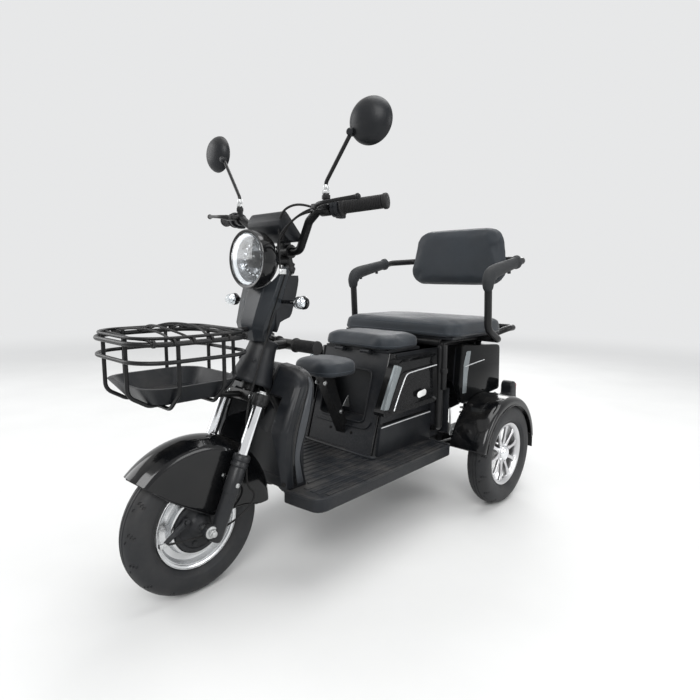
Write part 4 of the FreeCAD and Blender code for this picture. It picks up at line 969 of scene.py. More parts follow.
def make_levers():
    bm = bmesh.new()
    drum(bm, PERCH - INNER_WAY * 14 * MM, PERCH + INNER_WAY * 14 * MM, 16.5, 2)
    drum(bm, PERCH + Vector((0, 0, 0.010)), PERCH + Vector((0, 0, 0.039)), 8.5, 1)
    drum(bm, PERCH + Vector((0, 0, 0.024)), PERCH + Vector((0, 0, 0.034)), 11, 1, 6)
    root = PERCH + Vector((0, -0.020, 0.004))
    slab(bm, root - Vector((0.014, 0.020, 0.008)), root + Vector((0.020, 0.012, 0.006)), 3)
    bolt(bm, root + Vector((0.004, -0.010, 0.006)), UP, 4, 3)
    mirrored(bm)
    done("lever_perches", bm, "steering", "powder_coat", replaces=("brake_levers",), slot="black_frame")
    blade = [root + Vector(place) * MM for place in ((-4, -8, 0), (10, -22, 0), (34, -30, 3), (58, -26, 5),
                                                     (84, -19, 8), (108, -10, 10), (126, -3, 12))]
    taper = [1.25, 1.35, 1.0, 0.85, 0.85, 0.95, 1.1]
    rods("lever_blades", "steering", "powder_coat", [blade, flipped(blade)], 5.2,
         taper=taper)
    bm = bmesh.new()
    ball = bmesh.ops.create_uvsphere(bm, u_segments=20, v_segments=12, radius=0.0075)["verts"]
    bmesh.ops.translate(bm, verts=ball, vec=blade[-1])
    mirrored(bm)
    done("lever_balls", bm, "steering", "powder_coat", slot="black_frame")


def make_switches():
    bm = bmesh.new()
    middle = BAR_ROUTE[3] - BAR_WAY * 10 * MM
    turn(bm, middle, BAR_WAY, ((-11, 11.3), (-11, 19), (-9, 21.5), (-1, 22), (-0.5, 21), (0.5, 21), (1, 22),
                               (9, 21.5), (11, 19), (11, 11.3)), 40, closed=True)
    slab(bm, middle + Vector((-0.010, 0.004, -0.024)), middle + Vector((0.010, 0.026, 0.004)), 4)
    mirrored(bm)
    done("switch_cases", bm, "steering", "moulded", replaces=("bar_switches",), slot="satin_black")
    bm = bmesh.new()
    for offset, wide in ((-0.004, 0.006), (-0.016, 0.004)):
        slab(bm, middle + Vector((-wide, 0.024, offset - 0.003)),
             middle + Vector((wide, 0.029, offset + 0.003)), 1)
    drum(bm, middle + Vector((0.003, 0.020, 0.008)), middle + Vector((0.003, 0.026, 0.012)), 3.6, 0.6, 20)
    mirrored(bm)
    done("switch_buttons", bm, "steering", "badge_white", slot="satin_black")


def make_mirror(side, sign, x, degrees, lift):
    centre = at(sign * x, -728, 1146 + lift)
    facing = Matrix.Rotation(math.radians(sign * degrees), 3, "Z")
    back = facing @ BACK
    outline = [(-20, 0), (-19.6, 12), (-17.6, 24), (-13.5, 35), (-7.5, 44.5), (-1, 50.5), (5, 53.4),
               (8.6, 54), (10, 53.2), (10.2, 51.6), (9, 50.6), (7.4, 50.4), (7.2, 49), (7.2, 0)]
    bm = bmesh.new()
    turn(bm, centre, back, outline, 72)
    joint = centre + facing @ Vector((-sign * 43.2, -6, -23.8)) * MM
    turn(bm, joint, back, ((-13, 0), (-12, 6), (-9, 8.6), (2, 9), (6, 8)), 28)
    done(f"mirror_shell_{side}", bm, "steering", "moulded", replaces=("mirrors",), slot="black_frame")
    bm = bmesh.new()
    turn(bm, centre, back, ((8.2, 49.6), (8.8, 49), (9.2, 40), (9.5, 24), (9.6, 0)), 72)
    done(f"mirror_glass_{side}", bm, "steering", "mirror_silver", replaces=("mirror_glass",), slot="mirror")
    foot = Vector((sign * PERCH.x, PERCH.y, PERCH.z + 0.037))
    kink = foot + Vector((0, 0, 0.028))
    run = joint - kink
    points = [foot, foot + Vector((0, 0, 0.016)), kink, kink + run * 0.12, kink + run * 0.5, joint]
    rods(f"mirror_stem_{side}", "steering", "powder_coat", [points], 5)
    bm = bmesh.new()
    drum(bm, foot, foot + Vector((0, 0, 0.009)), 9.5, 1, 6)
    drum(bm, foot + Vector((0, 0, 0.009)), foot + Vector((0, 0, 0.022)), 7, 1.5)
    done(f"mirror_nut_{side}", bm, "steering", "zinc", slot="zinc")


# Headlamp, nose, signals and display
LAMP = at(0, -848, 836)


def bead(bm, spot, radius):
    """A small faceted ball."""
    ball = bmesh.ops.create_icosphere(bm, subdivisions=1, radius=radius * MM)["verts"]
    bmesh.ops.translate(bm, verts=ball, vec=spot)


def make_headlamp():
    bm = bmesh.new()
    turn(bm, LAMP, BACK, ((4, 71.5), (0.5, 72.4), (0, 74), (1, 75.8), (5, 76), (26, 75.6), (38, 73), (50, 66),
                          (62, 55), (71, 42), (76, 28), (78, 12), (78, 0)), 96)
    for aside in (-30, 30):
        slab(bm, LAMP + Vector((aside - 5, 40, -16)) * MM, LAMP + Vector((aside + 5, 74, 16)) * MM, 2)
    done("lamp_shell", bm, "steering", "gloss_panel", replaces=("headlamp_housing",), slot="gloss_black")
    bm = bmesh.new()
    turn(bm, LAMP, BACK, ((5, 75.9), (-0.6, 75.9), (-2, 74.6), (-2, 71.6), (-0.4, 67.6), (4, 67)), 96,
         closed=True)
    done("lamp_bezel", bm, "steering", "gloss_panel", slot="gloss_black")
    bm = bmesh.new()
    turn(bm, LAMP, BACK, ((6, 71), (4.5, 68.5), (6.5, 62), (8, 60), (12, 59.4), (16, 59.4), (16, 71)), 96,
         closed=True)
    done("lamp_light_ring", bm, "steering", "glow_white", replaces=("headlamp_ring",), slot="chrome")
    bm = bmesh.new()
    turn(bm, LAMP, BACK, ((12, 59.2), (14, 56), (22, 49), (30, 40), (35, 30), (37, 24), (33, 22), (31, 21)),
         72)
    for arm in arms(18, 42, axis="Y"):
        bead(bm, LAMP + arm + BACK * 27 * MM, 6)
    done("lamp_reflector", bm, "steering", "lamp_chrome", slot="chrome", sharp=math.radians(20))
    bm = bmesh.new()
    turn(bm, LAMP, BACK, ((32, 22), (20, 21.6), (13, 19), (8, 13), (6, 6), (5.6, 0)), 48)
    done("lamp_projector", bm, "steering", "clear", slot="clear_lens")
    bm = bmesh.new()
    turn(bm, LAMP, BACK, ((3, 67.2), (-1.5, 64), (-3.4, 50), (-5, 30), (-5.6, 12), (-5.7, 0)), 72)
    done("lamp_glass", bm, "steering", "clear", replaces=("headlamp_lens",), slot="clear_lens", wall=1.2,
         outward=1)


# Nose shell, low to high: height, front, flat half-width, full half-width, side's front, back
NOSE_RINGS = ((622, -842, 18, 44, -832, -806), (650, -850, 24, 56, -840, -797),
              (668, -852, 27, 63, -841, -790), (720, -835, 30, 70, -824, -778),
              (776, -815, 33, 75, -804, -766), (806, -804, 34, 77, -792, -757),
              (818, -794, 35, 76, -786, -760))


def make_nose():
    bm = bmesh.new()
    loops = []
    for z, front, flat, half, side_front, back in NOSE_RINGS:
        side = [(0, front + 1), (flat, front), (flat + 3, front + 2.5), (half, side_front),
                (half, side_front + 8), (half - 4, back - 8), (half - 14, back), (0, back)]
        ring = side + [(-x, y) for x, y in reversed(side[1:-1])]
        parts = joined(bm, [at(x, y, z) for x, y in ring], closed=True)
        loops.append([part for part in parts if isinstance(part, bmesh.types.BMEdge)])
    for low, high in zip(loops, loops[1:]):
        bmesh.ops.bridge_loops(bm, edges=low + high)
    bmesh.ops.holes_fill(bm, edges=[edge for edge in bm.edges if edge.is_boundary], sides=40)
    bmesh.ops.recalc_face_normals(bm, faces=bm.faces)
    shell = done("nose_shell", bm, "steering", "nose_grey", replaces=("nose_fairing",), slot="gloss_black",
                 bevel=2.4)
    bore(shell, "lamp_room", LAMP - BACK * 60 * MM, LAMP + BACK * 140 * MM, 77)
    bore(shell, "stem_room", steer(0, 0, 400), steer(0, 0, 900), 26, 48)
    bm = bmesh.new()
    outline = ((-800, 778), (-778, 806), (-764, 822), (-744, 812), (-726, 798), (-725, 784), (-727, 770),
               (-734, 742), (-744, 712), (-750, 694), (-757, 684), (-776, 678), (-790, 672), (-797, 655),
               (-802, 645), (-806, 700), (-806, 750))
    plate(bm, side_points(-66, outline), ACROSS * 0.132, 6, 4)
    cowl = done("nose_cowl", bm, "steering", "moulded", slot="gloss_black")
    bore(cowl, "stem_room", steer(0, 0, 400), steer(0, 0, 900), 26, 48)
    bore(cowl, "lamp_room", LAMP - BACK * 60 * MM, LAMP + BACK * 140 * MM, 77.5)
    bm = bmesh.new()
    for sign in (1, -1):
        drum(bm, at(sign * 76, -797, 806), at(sign * 79.5, -797, 806), 5, 0.8, 24)
        slab(bm, at(sign * 77, -803, 798), at(sign * 79, -780, 812), 0.8)
    done("nose_hinges", bm, "steering", "zinc", slot="zinc")
    seams = []
    for sign in (1, -1):
        seams.append([at(sign * (half + 0.3), side_front + 14, z)
                      for z, front, flat, half, side_front, back in NOSE_RINGS[:-1]])
    rods("nose_seams", "steering", "shadow_gap", seams, 1.4)


def carve(item, name, cut):
    """Cut one closed shape out of a piece for good."""
    bmesh.ops.recalc_face_normals(cut, faces=cut.faces)
    mesh = bpy.data.meshes.new(name)
    cut.to_mesh(mesh)
    cut.free()
    tool = bpy.data.objects.new(name, mesh)
    bpy.context.scene.collection.objects.link(tool)
    step = item.modifiers.new(name, "BOOLEAN")
    step.operation = "DIFFERENCE"
    step.solver = "EXACT"
    step.object = tool
    settle(item)
    bpy.data.objects.remove(tool)


def bore(item, name, start, end, radius, segments=96):
    """Cut a round room out of a piece."""
    cut = bmesh.new()
    drum(cut, start, end, radius, 0, segments)
    carve(item, name, cut)


def settle(item):
    """Apply every modifier of a piece to its mesh."""
    graph = bpy.context.evaluated_depsgraph_get()
    graph.update()
    mesh = bpy.data.meshes.new_from_object(item.evaluated_get(graph), depsgraph=graph)
    item.modifiers.clear()
    item.data = mesh


def make_signals():
    for side, sign in SIDES:
        centre = at(sign * 149, -797, 727)
        bm = bmesh.new()
        turn(bm, centre, BACK, ((9.5, 15.5), (9.5, 17), (10.5, 17.4), (17, 17.2), (20, 15), (22, 10),
                                (22.6, 0)), 48)
        drum(bm, centre + Vector((-0.012 * sign, 0.013, 0)), centre + Vector((-0.086 * sign, 0.013, 0)), 5,
             0.6, 24)
        drum(bm, centre + Vector((-0.020 * sign, 0.013, 0)), centre + Vector((-0.012 * sign, 0.013, 0)), 8,
             1.5, 24)
        done(f"signal_cap_{side}", bm, "steering", "gloss_panel", replaces=("turn_signals",),
             slot="satin_black")
        bm = bmesh.new()
        turn(bm, centre, BACK, ((9.4, 16.4), (-2, 16.4), (-8, 14.8), (-13, 11.4), (-17, 6), (-18.4, 0)), 48)
        done(f"signal_lens_{side}", bm, "steering", "clear", replaces=("signal_lenses",), slot="clear_lens",
             wall=1, outward=-1)
        bm = bmesh.new()
        turn(bm, centre, BACK, ((9, 15), (4, 13), (0, 9), (-1, 6), (-1, 0)), 32)
        for arm in arms(8, 9.5, axis="Y"):
            bead(bm, centre + arm, 2.6)
        done(f"signal_inside_{side}", bm, "steering", "bright_plate", slot="chrome", sharp=math.radians(20))


def make_display():
    outline = ((-786, 950), (-779, 958), (-771, 961), (-763, 954), (-716, 902), (-712, 896), (-715, 888),
               (-722, 884), (-760, 886), (-780, 903), (-792, 922), (-793, 936))
    bm = bmesh.new()
    plate(bm, side_points(-69, outline), ACROSS * 0.138, 3)
    slab(bm, at(-15, -735, 868), at(15, -708, 893), 2)
    done("display_case", bm, "steering", "moulded", replaces=("display_panel",), slot="display")
    bm = bmesh.new()
    low = at(0, -720, 903)
    high = at(0, -766, 955)
    out = (high - low).cross(ACROSS).normalized()
    out = -out if out.z < 0 else out
    points = [low - ACROSS * 0.060, low + ACROSS * 0.060, high + ACROSS * 0.060, high - ACROSS * 0.060]
    plate(bm, [point + out * 2 * MM for point in points], out * 1.5 * MM, 0.6, 2)
    done("display_glass", bm, "steering", "screen", slot="display")


def make_steering():
    make_fork_legs()
    make_front_fender()
    make_grips()
    make_levers()
    make_switches()
    make_mirror("left", 1, 312, 14.5, 0)
    make_mirror("right", -1, 309, -3, 20)
    make_headlamp()
    make_nose()
    make_signals()
    make_display()


# Seats, cushions and pads
CUSHION_VOXEL = 0.0055
SWELL_LIMIT = 6
SWELL_FRAMES = 20
EASINGS = 7
SEAM_POINTS = 144


def cushion(half, front, back, low, high, corner, edge):
    """A closed oblong block with round corners, a little smaller than the cushion it swells to."""
    bm = bmesh.new()
    corners = ((half - corner, back - corner, 0), (corner - half, back - corner, 90),
               (corner - half, front + corner, 180), (half - corner, front + corner, 270))
    verts = push(bm, round_corners(corners, corner, lambda x, y: at(x, y, low)), UP * (high - low) * MM)
    rim = [vert for vert in verts if abs(vert.co.z - high * MM) < 0.0001]
    round_off(bm, rim, edge, 4)
    return bm


def swell(name, bm, body, held, node_name):
    """A cushion swelled a little by cloth simulation; held(point) picks what stays still."""
    bmesh.ops.recalc_face_normals(bm, faces=bm.faces)
    mesh = bpy.data.meshes.new(name)
    bm.to_mesh(mesh)
    bm.free()
    item = bpy.data.objects.new(name, mesh)
    bpy.context.scene.collection.objects.link(item)
    even = item.modifiers.new("even", "REMESH")
    even.mode = "VOXEL"
    even.voxel_size = CUSHION_VOXEL
    settle(item)
    before = [vert.co.copy() for vert in item.data.vertices]
    group = item.vertex_groups.new(name="held")
    group.add([vert.index for vert in item.data.vertices if held(vert.co)], 1.0, "REPLACE")
    swelling = item.modifiers.new("swelling", "CLOTH")
    swelling.settings.use_pressure = True
    swelling.settings.uniform_pressure_force = 4
    swelling.settings.effector_weights.gravity = 0
    swelling.settings.vertex_group_mass = "held"
    swelling.point_cache.frame_end = SWELL_FRAMES
    for number in range(1, SWELL_FRAMES + 1):
        bpy.context.scene.frame_set(number)
    settle(item)
    for vert, start in zip(item.data.vertices, before):
        moved = vert.co - start
        if moved.length > SWELL_LIMIT * MM:
            vert.co = start + moved.normalized() * SWELL_LIMIT * MM
    bpy.context.scene.frame_set(1)
    for number in range(EASINGS):
        even_out(item)
    item.vertex_groups.clear()
    item.data.materials.clear()
    item.data.materials.append(MATERIALS["seat_cover"])
    item.data.shade_smooth()
    rounds = item.modifiers.new("rounds", "SUBSURF")
    rounds.levels = 1
    rounds.render_levels = 1
    ridden(item, body, (node_name,))
    return item


def even_out(item):
    """Ease the small steps that the remesh leaves in a cushion."""
    bm = bmesh.new()
    bm.from_mesh(item.data)
    bmesh.ops.smooth_vert(bm, verts=bm.verts, factor=0.5, use_axis_x=True, use_axis_y=True, use_axis_z=True)
    bm.to_mesh(item.data)
    bm.free()


def seam_line(name, item, body, centre, along, across):
    """A raised seam round a cushion where a plane cuts it."""
    tree = BVHTree.FromPolygons([vert.co for vert in item.data.vertices],
                                [face.vertices for face in item.data.polygons])
    points = []
    for number in range(SEAM_POINTS):
        angle = math.tau * number / SEAM_POINTS
        way = along * math.cos(angle) + across * math.sin(angle)
        hit = tree.ray_cast(centre + way * 0.6, -way)[0]
        if hit:
            points.append(hit)
    rods(name, body, "seam", [points], 0.9, closed=True, sides=2)


def make_seats():
    bm = cushion(149, -437, -246, 567, 608, 54, 14)
    floor = at(0, 0, 573).z
    seat = swell("rider_cushion", bm, "rider_seat", lambda point: point.z < floor, "rider_seat")
    seam_line("rider_seam", seat, "rider_seat", at(0, -341, 579), ACROSS, BACK)
    bm = cushion(257, -229, 129, 600, 649, 58, 18)
    low = at(0, 0, 606).z
    seat = swell("bench_cushion", bm, "chassis", lambda point: point.z < low, "passenger_seat")
    seam_line("bench_seam_high", seat, "chassis", at(0, -50, 640), ACROSS, BACK)
    seam_line("bench_seam_low", seat, "chassis", at(0, -50, 612), ACROSS, BACK)
    bm = cushion(88, -635, -486, 498, 543, 54, 13)
    foot = at(0, 0, 504).z
    seat = swell("child_cushion", bm, "chassis", lambda point: point.z < foot, "child_seat")
    seam_line("child_seam", seat, "chassis", at(0, -560, 512), ACROSS, BACK)


BACK_LEAN = math.radians(-4)
BACK_FOOT = at(0, 158, 764)


def back_outline(top, high, bottom, low, corner, back):
    """The backrest's outline from half-widths and heights of its top and bottom."""
    corners = ((top - corner, high - corner, 0), (corner - top, high - corner, 90),
               (corner - bottom, low + corner, 180), (bottom - corner, low + corner, 270))
    return round_corners(corners, corner, lambda x, z: at(x, back, z))


def make_backrest():
    bm = bmesh.new()
    verts = push(bm, back_outline(199, 994, 217, 769, 66, 199), BACK * -0.036)
    rim = [vert for vert in verts if abs(vert.co.y - at(0, 163, 0).y) < 0.0001]
    round_off(bm, rim, 14, 4)
    bmesh.ops.rotate(bm, verts=bm.verts, cent=BACK_FOOT, matrix=Matrix.Rotation(BACK_LEAN, 3, "X"))
    leaned = Matrix.Rotation(BACK_LEAN, 3, "X") @ BACK
    plane = BACK_FOOT + leaned * 0.036
    pad = swell("backrest_cushion", bm, "chassis", lambda point: (point - plane).dot(leaned) > 0,
                "backrest_pad")
    rise = leaned.cross(ACROSS)
    seam_line("backrest_seam", pad, "chassis", BACK_FOOT + leaned * 0.030 - rise * 0.117, ACROSS, rise)
    bm = bmesh.new()
    plate(bm, back_outline(176, 967, 190, 792, 50, 200.2), BACK * 0.0076, 2.5)
    for x in (-120, 120):
        for z in (860, 900):
            bolt(bm, at(x, 207.5, z), BACK, 5, 3)
    bmesh.ops.rotate(bm, verts=bm.verts, cent=BACK_FOOT, matrix=Matrix.Rotation(BACK_LEAN, 3, "X"))
    done("backrest_shell", bm, "chassis", "moulded", replaces=("backrest_plate",), slot="satin_black")


ARM_LINE = ((0, -100, 753), (0.07, -105.5, 768), (0.15, -105, 786), (0.25, -96, 803), (0.38, -74, 814),
            (0.55, -30, 825), (0.80, 46, 841.5), (1, 104, 854))
ARM_GIRTH = ((0, 0), (0.006, 8), (0.02, 13.5), (0.05, 16.6), (0.14, 19.6), (0.26, 20.6), (0.42, 19.8),
             (0.6, 18.2), (0.8, 16.8), (0.885, 16.2), (0.90, 16.6), (0.915, 18.6), (0.93, 19.6),
             (0.97, 19.6), (0.985, 18), (0.995, 13.6), (1, 0))


def make_arm_pads():
    bm = bmesh.new()

    def pad_spot(u, v):
        share = 0.5 - 0.5 * math.cos(math.pi * v)
        y, z = eased(ARM_LINE, share)
        ahead = eased(ARM_LINE, min(share + 0.01, 1))
        behind = eased(ARM_LINE, max(share - 0.01, 0))
        run = Vector((0, ahead[0] - behind[0], ahead[1] - behind[1])).normalized()
        girth = between(ARM_GIRTH, share)
        angle = math.tau * u
        rise = ACROSS.cross(run)
        tall = girth * (1.24 if math.sin(angle) > 0 or share > 0.12 else 1.0)
        return at(300, y, z) + (ACROSS * math.cos(angle) * girth + rise * math.sin(angle) * tall) * MM

    shaped(bm, 40, 120, pad_spot)
    mirrored(bm)
    pads = done("arm_pads", bm, "chassis", "pad_foam", replaces=("armrest_pads",), slot="soft_rubber",
                rounds=1)
    bm = bmesh.new()
    for sign in (1, -1):
        for y, z in ((-62, 797), (40, 820)):
            drum(bm, at(sign * 300, y, z), at(sign * 300, y + 2, z - 9), 6, 1, 20)
    done("arm_pad_screws", bm, "chassis", "leg_black", slot="zinc")


# Leg shield, from its foot to its top: height, half-width, front, back
SHIELD = ((244, 145, -850, -776), (290, 149, -856, -790), (336, 151, -858, -797), (401, 151, -851, -775),
          (457, 149.5, -828, -758), (509, 143.5, -800, -746), (530, 131, -789, -743), (543, 108, -781, -741),
          (552, 72, -775, -740), (554, 30, -773, -740))
SHIELD_CORNER = 22
# Shares of the way from its rear edge to the opening: flank, corner and face, and where the corner ends
FLANK_SPAN = 0.3
CORNER_SPAN = 0.25
FACE_SPAN = 0.45
CORNER_END = 0.55
# Where its lighter side band starts, as a share of the flank
BAND_START = 0.42
SHIELD_FOOT = 244
SHIELD_RISE = 310
# Half-width of the wheel opening by height
SHIELD_OPENING = ((244, 135), (312, 134), (340, 128), (366, 117), (392, 102), (410, 84), (421, 58), (426, 30),
                  (427, 0), (560, 0))


def shield_spot(u, v):
    """A point on one side of the leg shield: from its rear edge to the wheel's opening by u, and up by v."""
    z = SHIELD_FOOT + SHIELD_RISE * v
    half, front, back = eased(SHIELD, z)
    corner = min(SHIELD_CORNER, half * 0.6)
    inside = between(SHIELD_OPENING, z)
    last = math.acos(min(max((inside - half + corner) / corner, 0), 1))
    if u < FLANK_SPAN:
        return at(half, back + (front + corner - back) * u / FLANK_SPAN, z)
    if u < CORNER_END:
        angle = last * (u - FLANK_SPAN) / CORNER_SPAN
        return at(half - corner + corner * math.cos(angle), front + corner - corner * math.sin(angle), z)
    start = half - corner + corner * math.cos(last)
    depth = front + corner - corner * math.sin(last)
    share = (u - CORNER_END) / FACE_SPAN
    bulge = 7 * math.sin(math.pi / 2 * share) * (1 - inside / 136)
    return at(start + (inside - start) * share, depth - bulge, z)


def make_leg_shield():
    bm = bmesh.new()
    shaped(bm, 44, 56, shield_spot)
    mirrored(bm)
    skin = done("leg_shield_skin", bm, "chassis", "moulded", slot="satin_black", wall=1.6, merge=0.0004)
    settle(skin)
    for name, low, high, radius in (("fork_room", 200, 361, 107.5), ("neck_room", 300, 700, 61.2)):
        bore(skin, name, steer(0, 0, low), steer(0, 0, high), radius)
    beads = []
    for offset in (7, None):
        line = []
        for z in range(248, 552, 12):
            half, front, back = eased(SHIELD, z)
            line.append(at(half + 1.0, back - 1.5 if offset is None else front + SHIELD_CORNER + offset, z))
        beads += [line, flipped(line)]
    rods("leg_shield_edges", "chassis", "moulded", beads, 2.6)


def make_shield_bands():
    bm = bmesh.new()

    def band_spot(u, v):
        z = 250 + 286 * v
        half, front, back = eased(SHIELD, z)
        start = front + SHIELD_CORNER + BAND_START * (back - front - SHIELD_CORNER)
        lift = 5.0 * min(1, 6 * u, 6 * (1 - u)) * min(1, 14 * v, 14 * (1 - v))
        return at(half + 0.6 + lift, start + (back - 5 - start) * u, z)

    shaped(bm, 16, 60, band_spot)
    mirrored(bm)
    done("leg_shield_bands", bm, "chassis", "band_grey", slot="satin_black", wall=1.2, outward=-1)
    # A gloss black strip, darker than the shield, laid proud of its side over the channel between the front
    # edge and the grey band: the gloss is the plastic's own, the darkness is painted shade of that recess.
    bm = bmesh.new()

    def shaded_channel_spot(u, v):
        z = 250 + 290 * v
        half, front, back = eased(SHIELD, z)
        start = front + SHIELD_CORNER + 9
        end = front + SHIELD_CORNER + BAND_START * (back - front - SHIELD_CORNER)
        return at(half + 1.4, start + (end - start) * u, z)

    shaped(bm, 4, 60, shaded_channel_spot)
    mirrored(bm)
    done("leg_shield_shaded_channels", bm, "chassis", "gloss_panel", slot="gloss_black", wall=0.8)


def make_shield_screws():
    bm = bmesh.new()
    for sign in (1, -1):
        spot = at(sign * 108, -812, 480)
        turn(bm, spot, Vector((0.2 * sign, -1, 0.35)), ((-3, 6.5), (1.5, 6.5), (2.5, 7.5), (2.5, 9),
                                                        (1.5, 10), (-3, 10)), 32, closed=True)
        drum(bm, spot - Vector((0, -0.002, 0)), spot + Vector((0, 0.004, 0)), 6.6, 0, 24)
        bolt(bm, at(sign * 141, -848, 262), Vector((sign, -0.6, 0)), 4, 3)
    bolt(bm, at(0, -738, 520), BACK, 5, 3)
    bolt(bm, at(0, -738, 300), BACK, 5, 3)
    done("leg_shield_screws", bm, "chassis", "shadow_gap", slot="satin_black")


def make_neck_bell():
    bm = bmesh.new()
    turn(bm, steer(0, 0, 0), STEER_UP, ((372, 56), (372, 59.5), (375, 60.5), (380, 60), (396, 55),
                                        (420, 48.5), (446, 43), (470, 39.5), (484, 38.5), (487, 40.5),
                                        (494, 40.5), (497, 38), (498, 28)), 72)
    for degrees in (40, 140, 220, 320):
        arm = Matrix.Rotation(math.radians(degrees), 3, STEER_UP) @ STEER_AHEAD
        bolt(bm, steer(0, 0, 432) + arm * 45.5 * MM, arm + STEER_UP * 0.25, 5, 4)
    done("neck_bell", bm, "chassis", "moulded", replaces=("neck_cover",), slot="satin_black")


# Footboard
BOARD_OUTLINE = ((-256, -801), (-253, -815), (-246, -826), (-234, -833), (-180, -841), (-137, -845),
                 (-134, -792), (134, -792), (137, -845), (180, -841), (234, -833), (246, -826), (253, -815),
                 (256, -801), (256, -242), (254, -231), (247, -224), (236, -222), (-236, -222),
                 (-247, -224), (-254, -231), (-256, -242))


def make_footboard():
    bm = bmesh.new()
    plate(bm, [at(x, y, 211) for x, y in BOARD_OUTLINE], UP * 0.033, 5, 4)
    board = done("footboard", bm, "chassis", "deck", replaces=("floorboard",), slot="floor_black")
    cut = bmesh.new()
    slab(cut, at(-242, -771, 200), at(242, -236, 234), 0)
    slab(cut, at(-130, -900, 200), at(130, -793, 260), 0)
    carve(board, "hollow", cut)
    lip = [at(x * (1 - 4 / max(abs(x), 1)) if abs(x) > 140 else x, y + (4 if y < -500 else -4), 243.4)
           for x, y in BOARD_OUTLINE[8:19]]
    rods("footboard_lip", "chassis", "deck", [lip, flipped(lip)], 5)
    bm = bmesh.new()
    for number in range(11):
        x = -120 + number * 24
        slab(bm, at(x - 7.5, -732 if abs(x) < 62 else -768, 243), at(x + 7.5, -518, 246), 1.4, 3)
    for x in (171, 193, 215, 236):
        for sign in (1, -1):
            slab(bm, at(sign * x - 7, -800 if x < 230 else -786, 243), at(sign * x + 7, -240, 246), 1.4, 3)
    for x in (-146, 146):
        slab(bm, at(x - 3.5, -770, 243), at(x + 3.5, -520, 247.5), 1.6, 3)
    done("footboard_ribs", bm, "chassis", "deck", slot="floor_black")
    border = [at(x, y, 247) for x, y in ((157, -226), (160, -300), (160, -480), (158, -500), (148, -512),
                                         (120, -513), (0, -513), (-120, -513), (-148, -512), (-158, -500),
                                         (-160, -480), (-160, -300), (-157, -226))]
    rods("footboard_border", "chassis", "deck", [border], 6.5)


# Seat box and its side panels: (behind the rear axle, height)
def leaning(z, ahead=0):
    """How far back the seat box's front face is at a height."""
    return -505 + 87 * (z - 244) / (558.4 - 244) - ahead


PANEL_FACE = 0.1918
UPPER_PANEL = ((-509, 394), (-498, 414), (-484, 443), (-468, 476), (-452, 510), (-440, 533), (-430, 543),
               (-418, 547), (-240, 547), (-232, 542), (-226, 470), (-221, 402), (-226, 390), (-240, 384),
               (-360, 381), (-495, 380), (-506, 384))
LOWER_PANEL = ((-501, 250), (-489, 342), (-484, 345), (-360, 347), (-226, 347), (-222, 342), (-220, 254),
               (-224, 250))
PANEL_STRIP = ((-484, 349), (-480, 378), (-226, 380), (-224, 349))


def make_seat_box():
    bm = bmesh.new()
    for sign in (1, -1):
        made = push(bm, side_points(sign * 154.3, UPPER_PANEL), ACROSS * sign * 0.0375)
        rim = [vert for vert in made if abs(vert.co.x * sign - PANEL_FACE) < 0.0003]
        face = next(part for part in bm.faces if all(vert in rim for vert in part.verts))
        bmesh.ops.inset_region(bm, faces=[face], thickness=0.012, depth=0, use_even_offset=True)
        bmesh.ops.translate(bm, verts=rim, vec=ACROSS * -sign * 0.009)
    # The upper side panels take the darker copy of the gloss finish: painted shade.
    done("side_panels_upper", bm, "chassis", "gloss_panel_shaded", replaces=("side_panels",), slot="gloss_black",
         bevel=4, segments=4)
    bm = bmesh.new()
    for sign in (1, -1):
        plate(bm, side_points(sign * 154.3, LOWER_PANEL), ACROSS * sign * 0.0135, 3)
        plate(bm, side_points(sign * 154.3, PANEL_STRIP), ACROSS * sign * 0.006, 2)
    done("side_panels_lower", bm, "chassis", "moulded", slot="satin_black")
    line = side_points(192.4, ((-458, 392), (-448, 412), (-433, 440), (-418, 466), (-405, 488), (-397, 496),
                               (-386, 500), (-360, 502), (-300, 505), (-232, 508)))
    low = side_points(168.0, ((-487, 340), (-440, 341), (-360, 342), (-226, 343)))
    rods("side_stripes", "chassis", "stripe_silver", [line, flipped(line), low, flipped(low)], 1.9)


def make_side_marks():
    # Light grey strips along the front edges of the upper side panels: a painted highlight for the reflection
    # on their bevelled edges.
    bm = bmesh.new()
    for sign in (1, -1):
        points = side_points(sign * 176, ((-505, 402), (-482, 399), (-455, 454), (-420, 522), (-442, 531),
                                          (-474, 466)))
        plate(bm, points, ACROSS * sign * 0.0156, 2, 3)
    done("side_edge_highlights", bm, "chassis", "painted_highlight", slot="satin_black")
    bm = bmesh.new()
    for sign in (1, -1):
        pill = []
        for number in range(24):
            angle = math.tau * number / 24
            reach = 14 if math.cos(angle) > 0 else -14
            pill.append((reach + 10.5 * math.cos(angle), 10.5 * math.sin(angle)))
        lean = math.radians(6)
        points = [at(sign * 191.2, -313 + a * math.cos(lean) - b * math.sin(lean),
                     424 + a * math.sin(lean) + b * math.cos(lean)) for a, b in pill]
        plate(bm, points, ACROSS * sign * 0.0022, 0.8, 2)
    done("side_badges", bm, "chassis", "badge_white", slot="alloy")


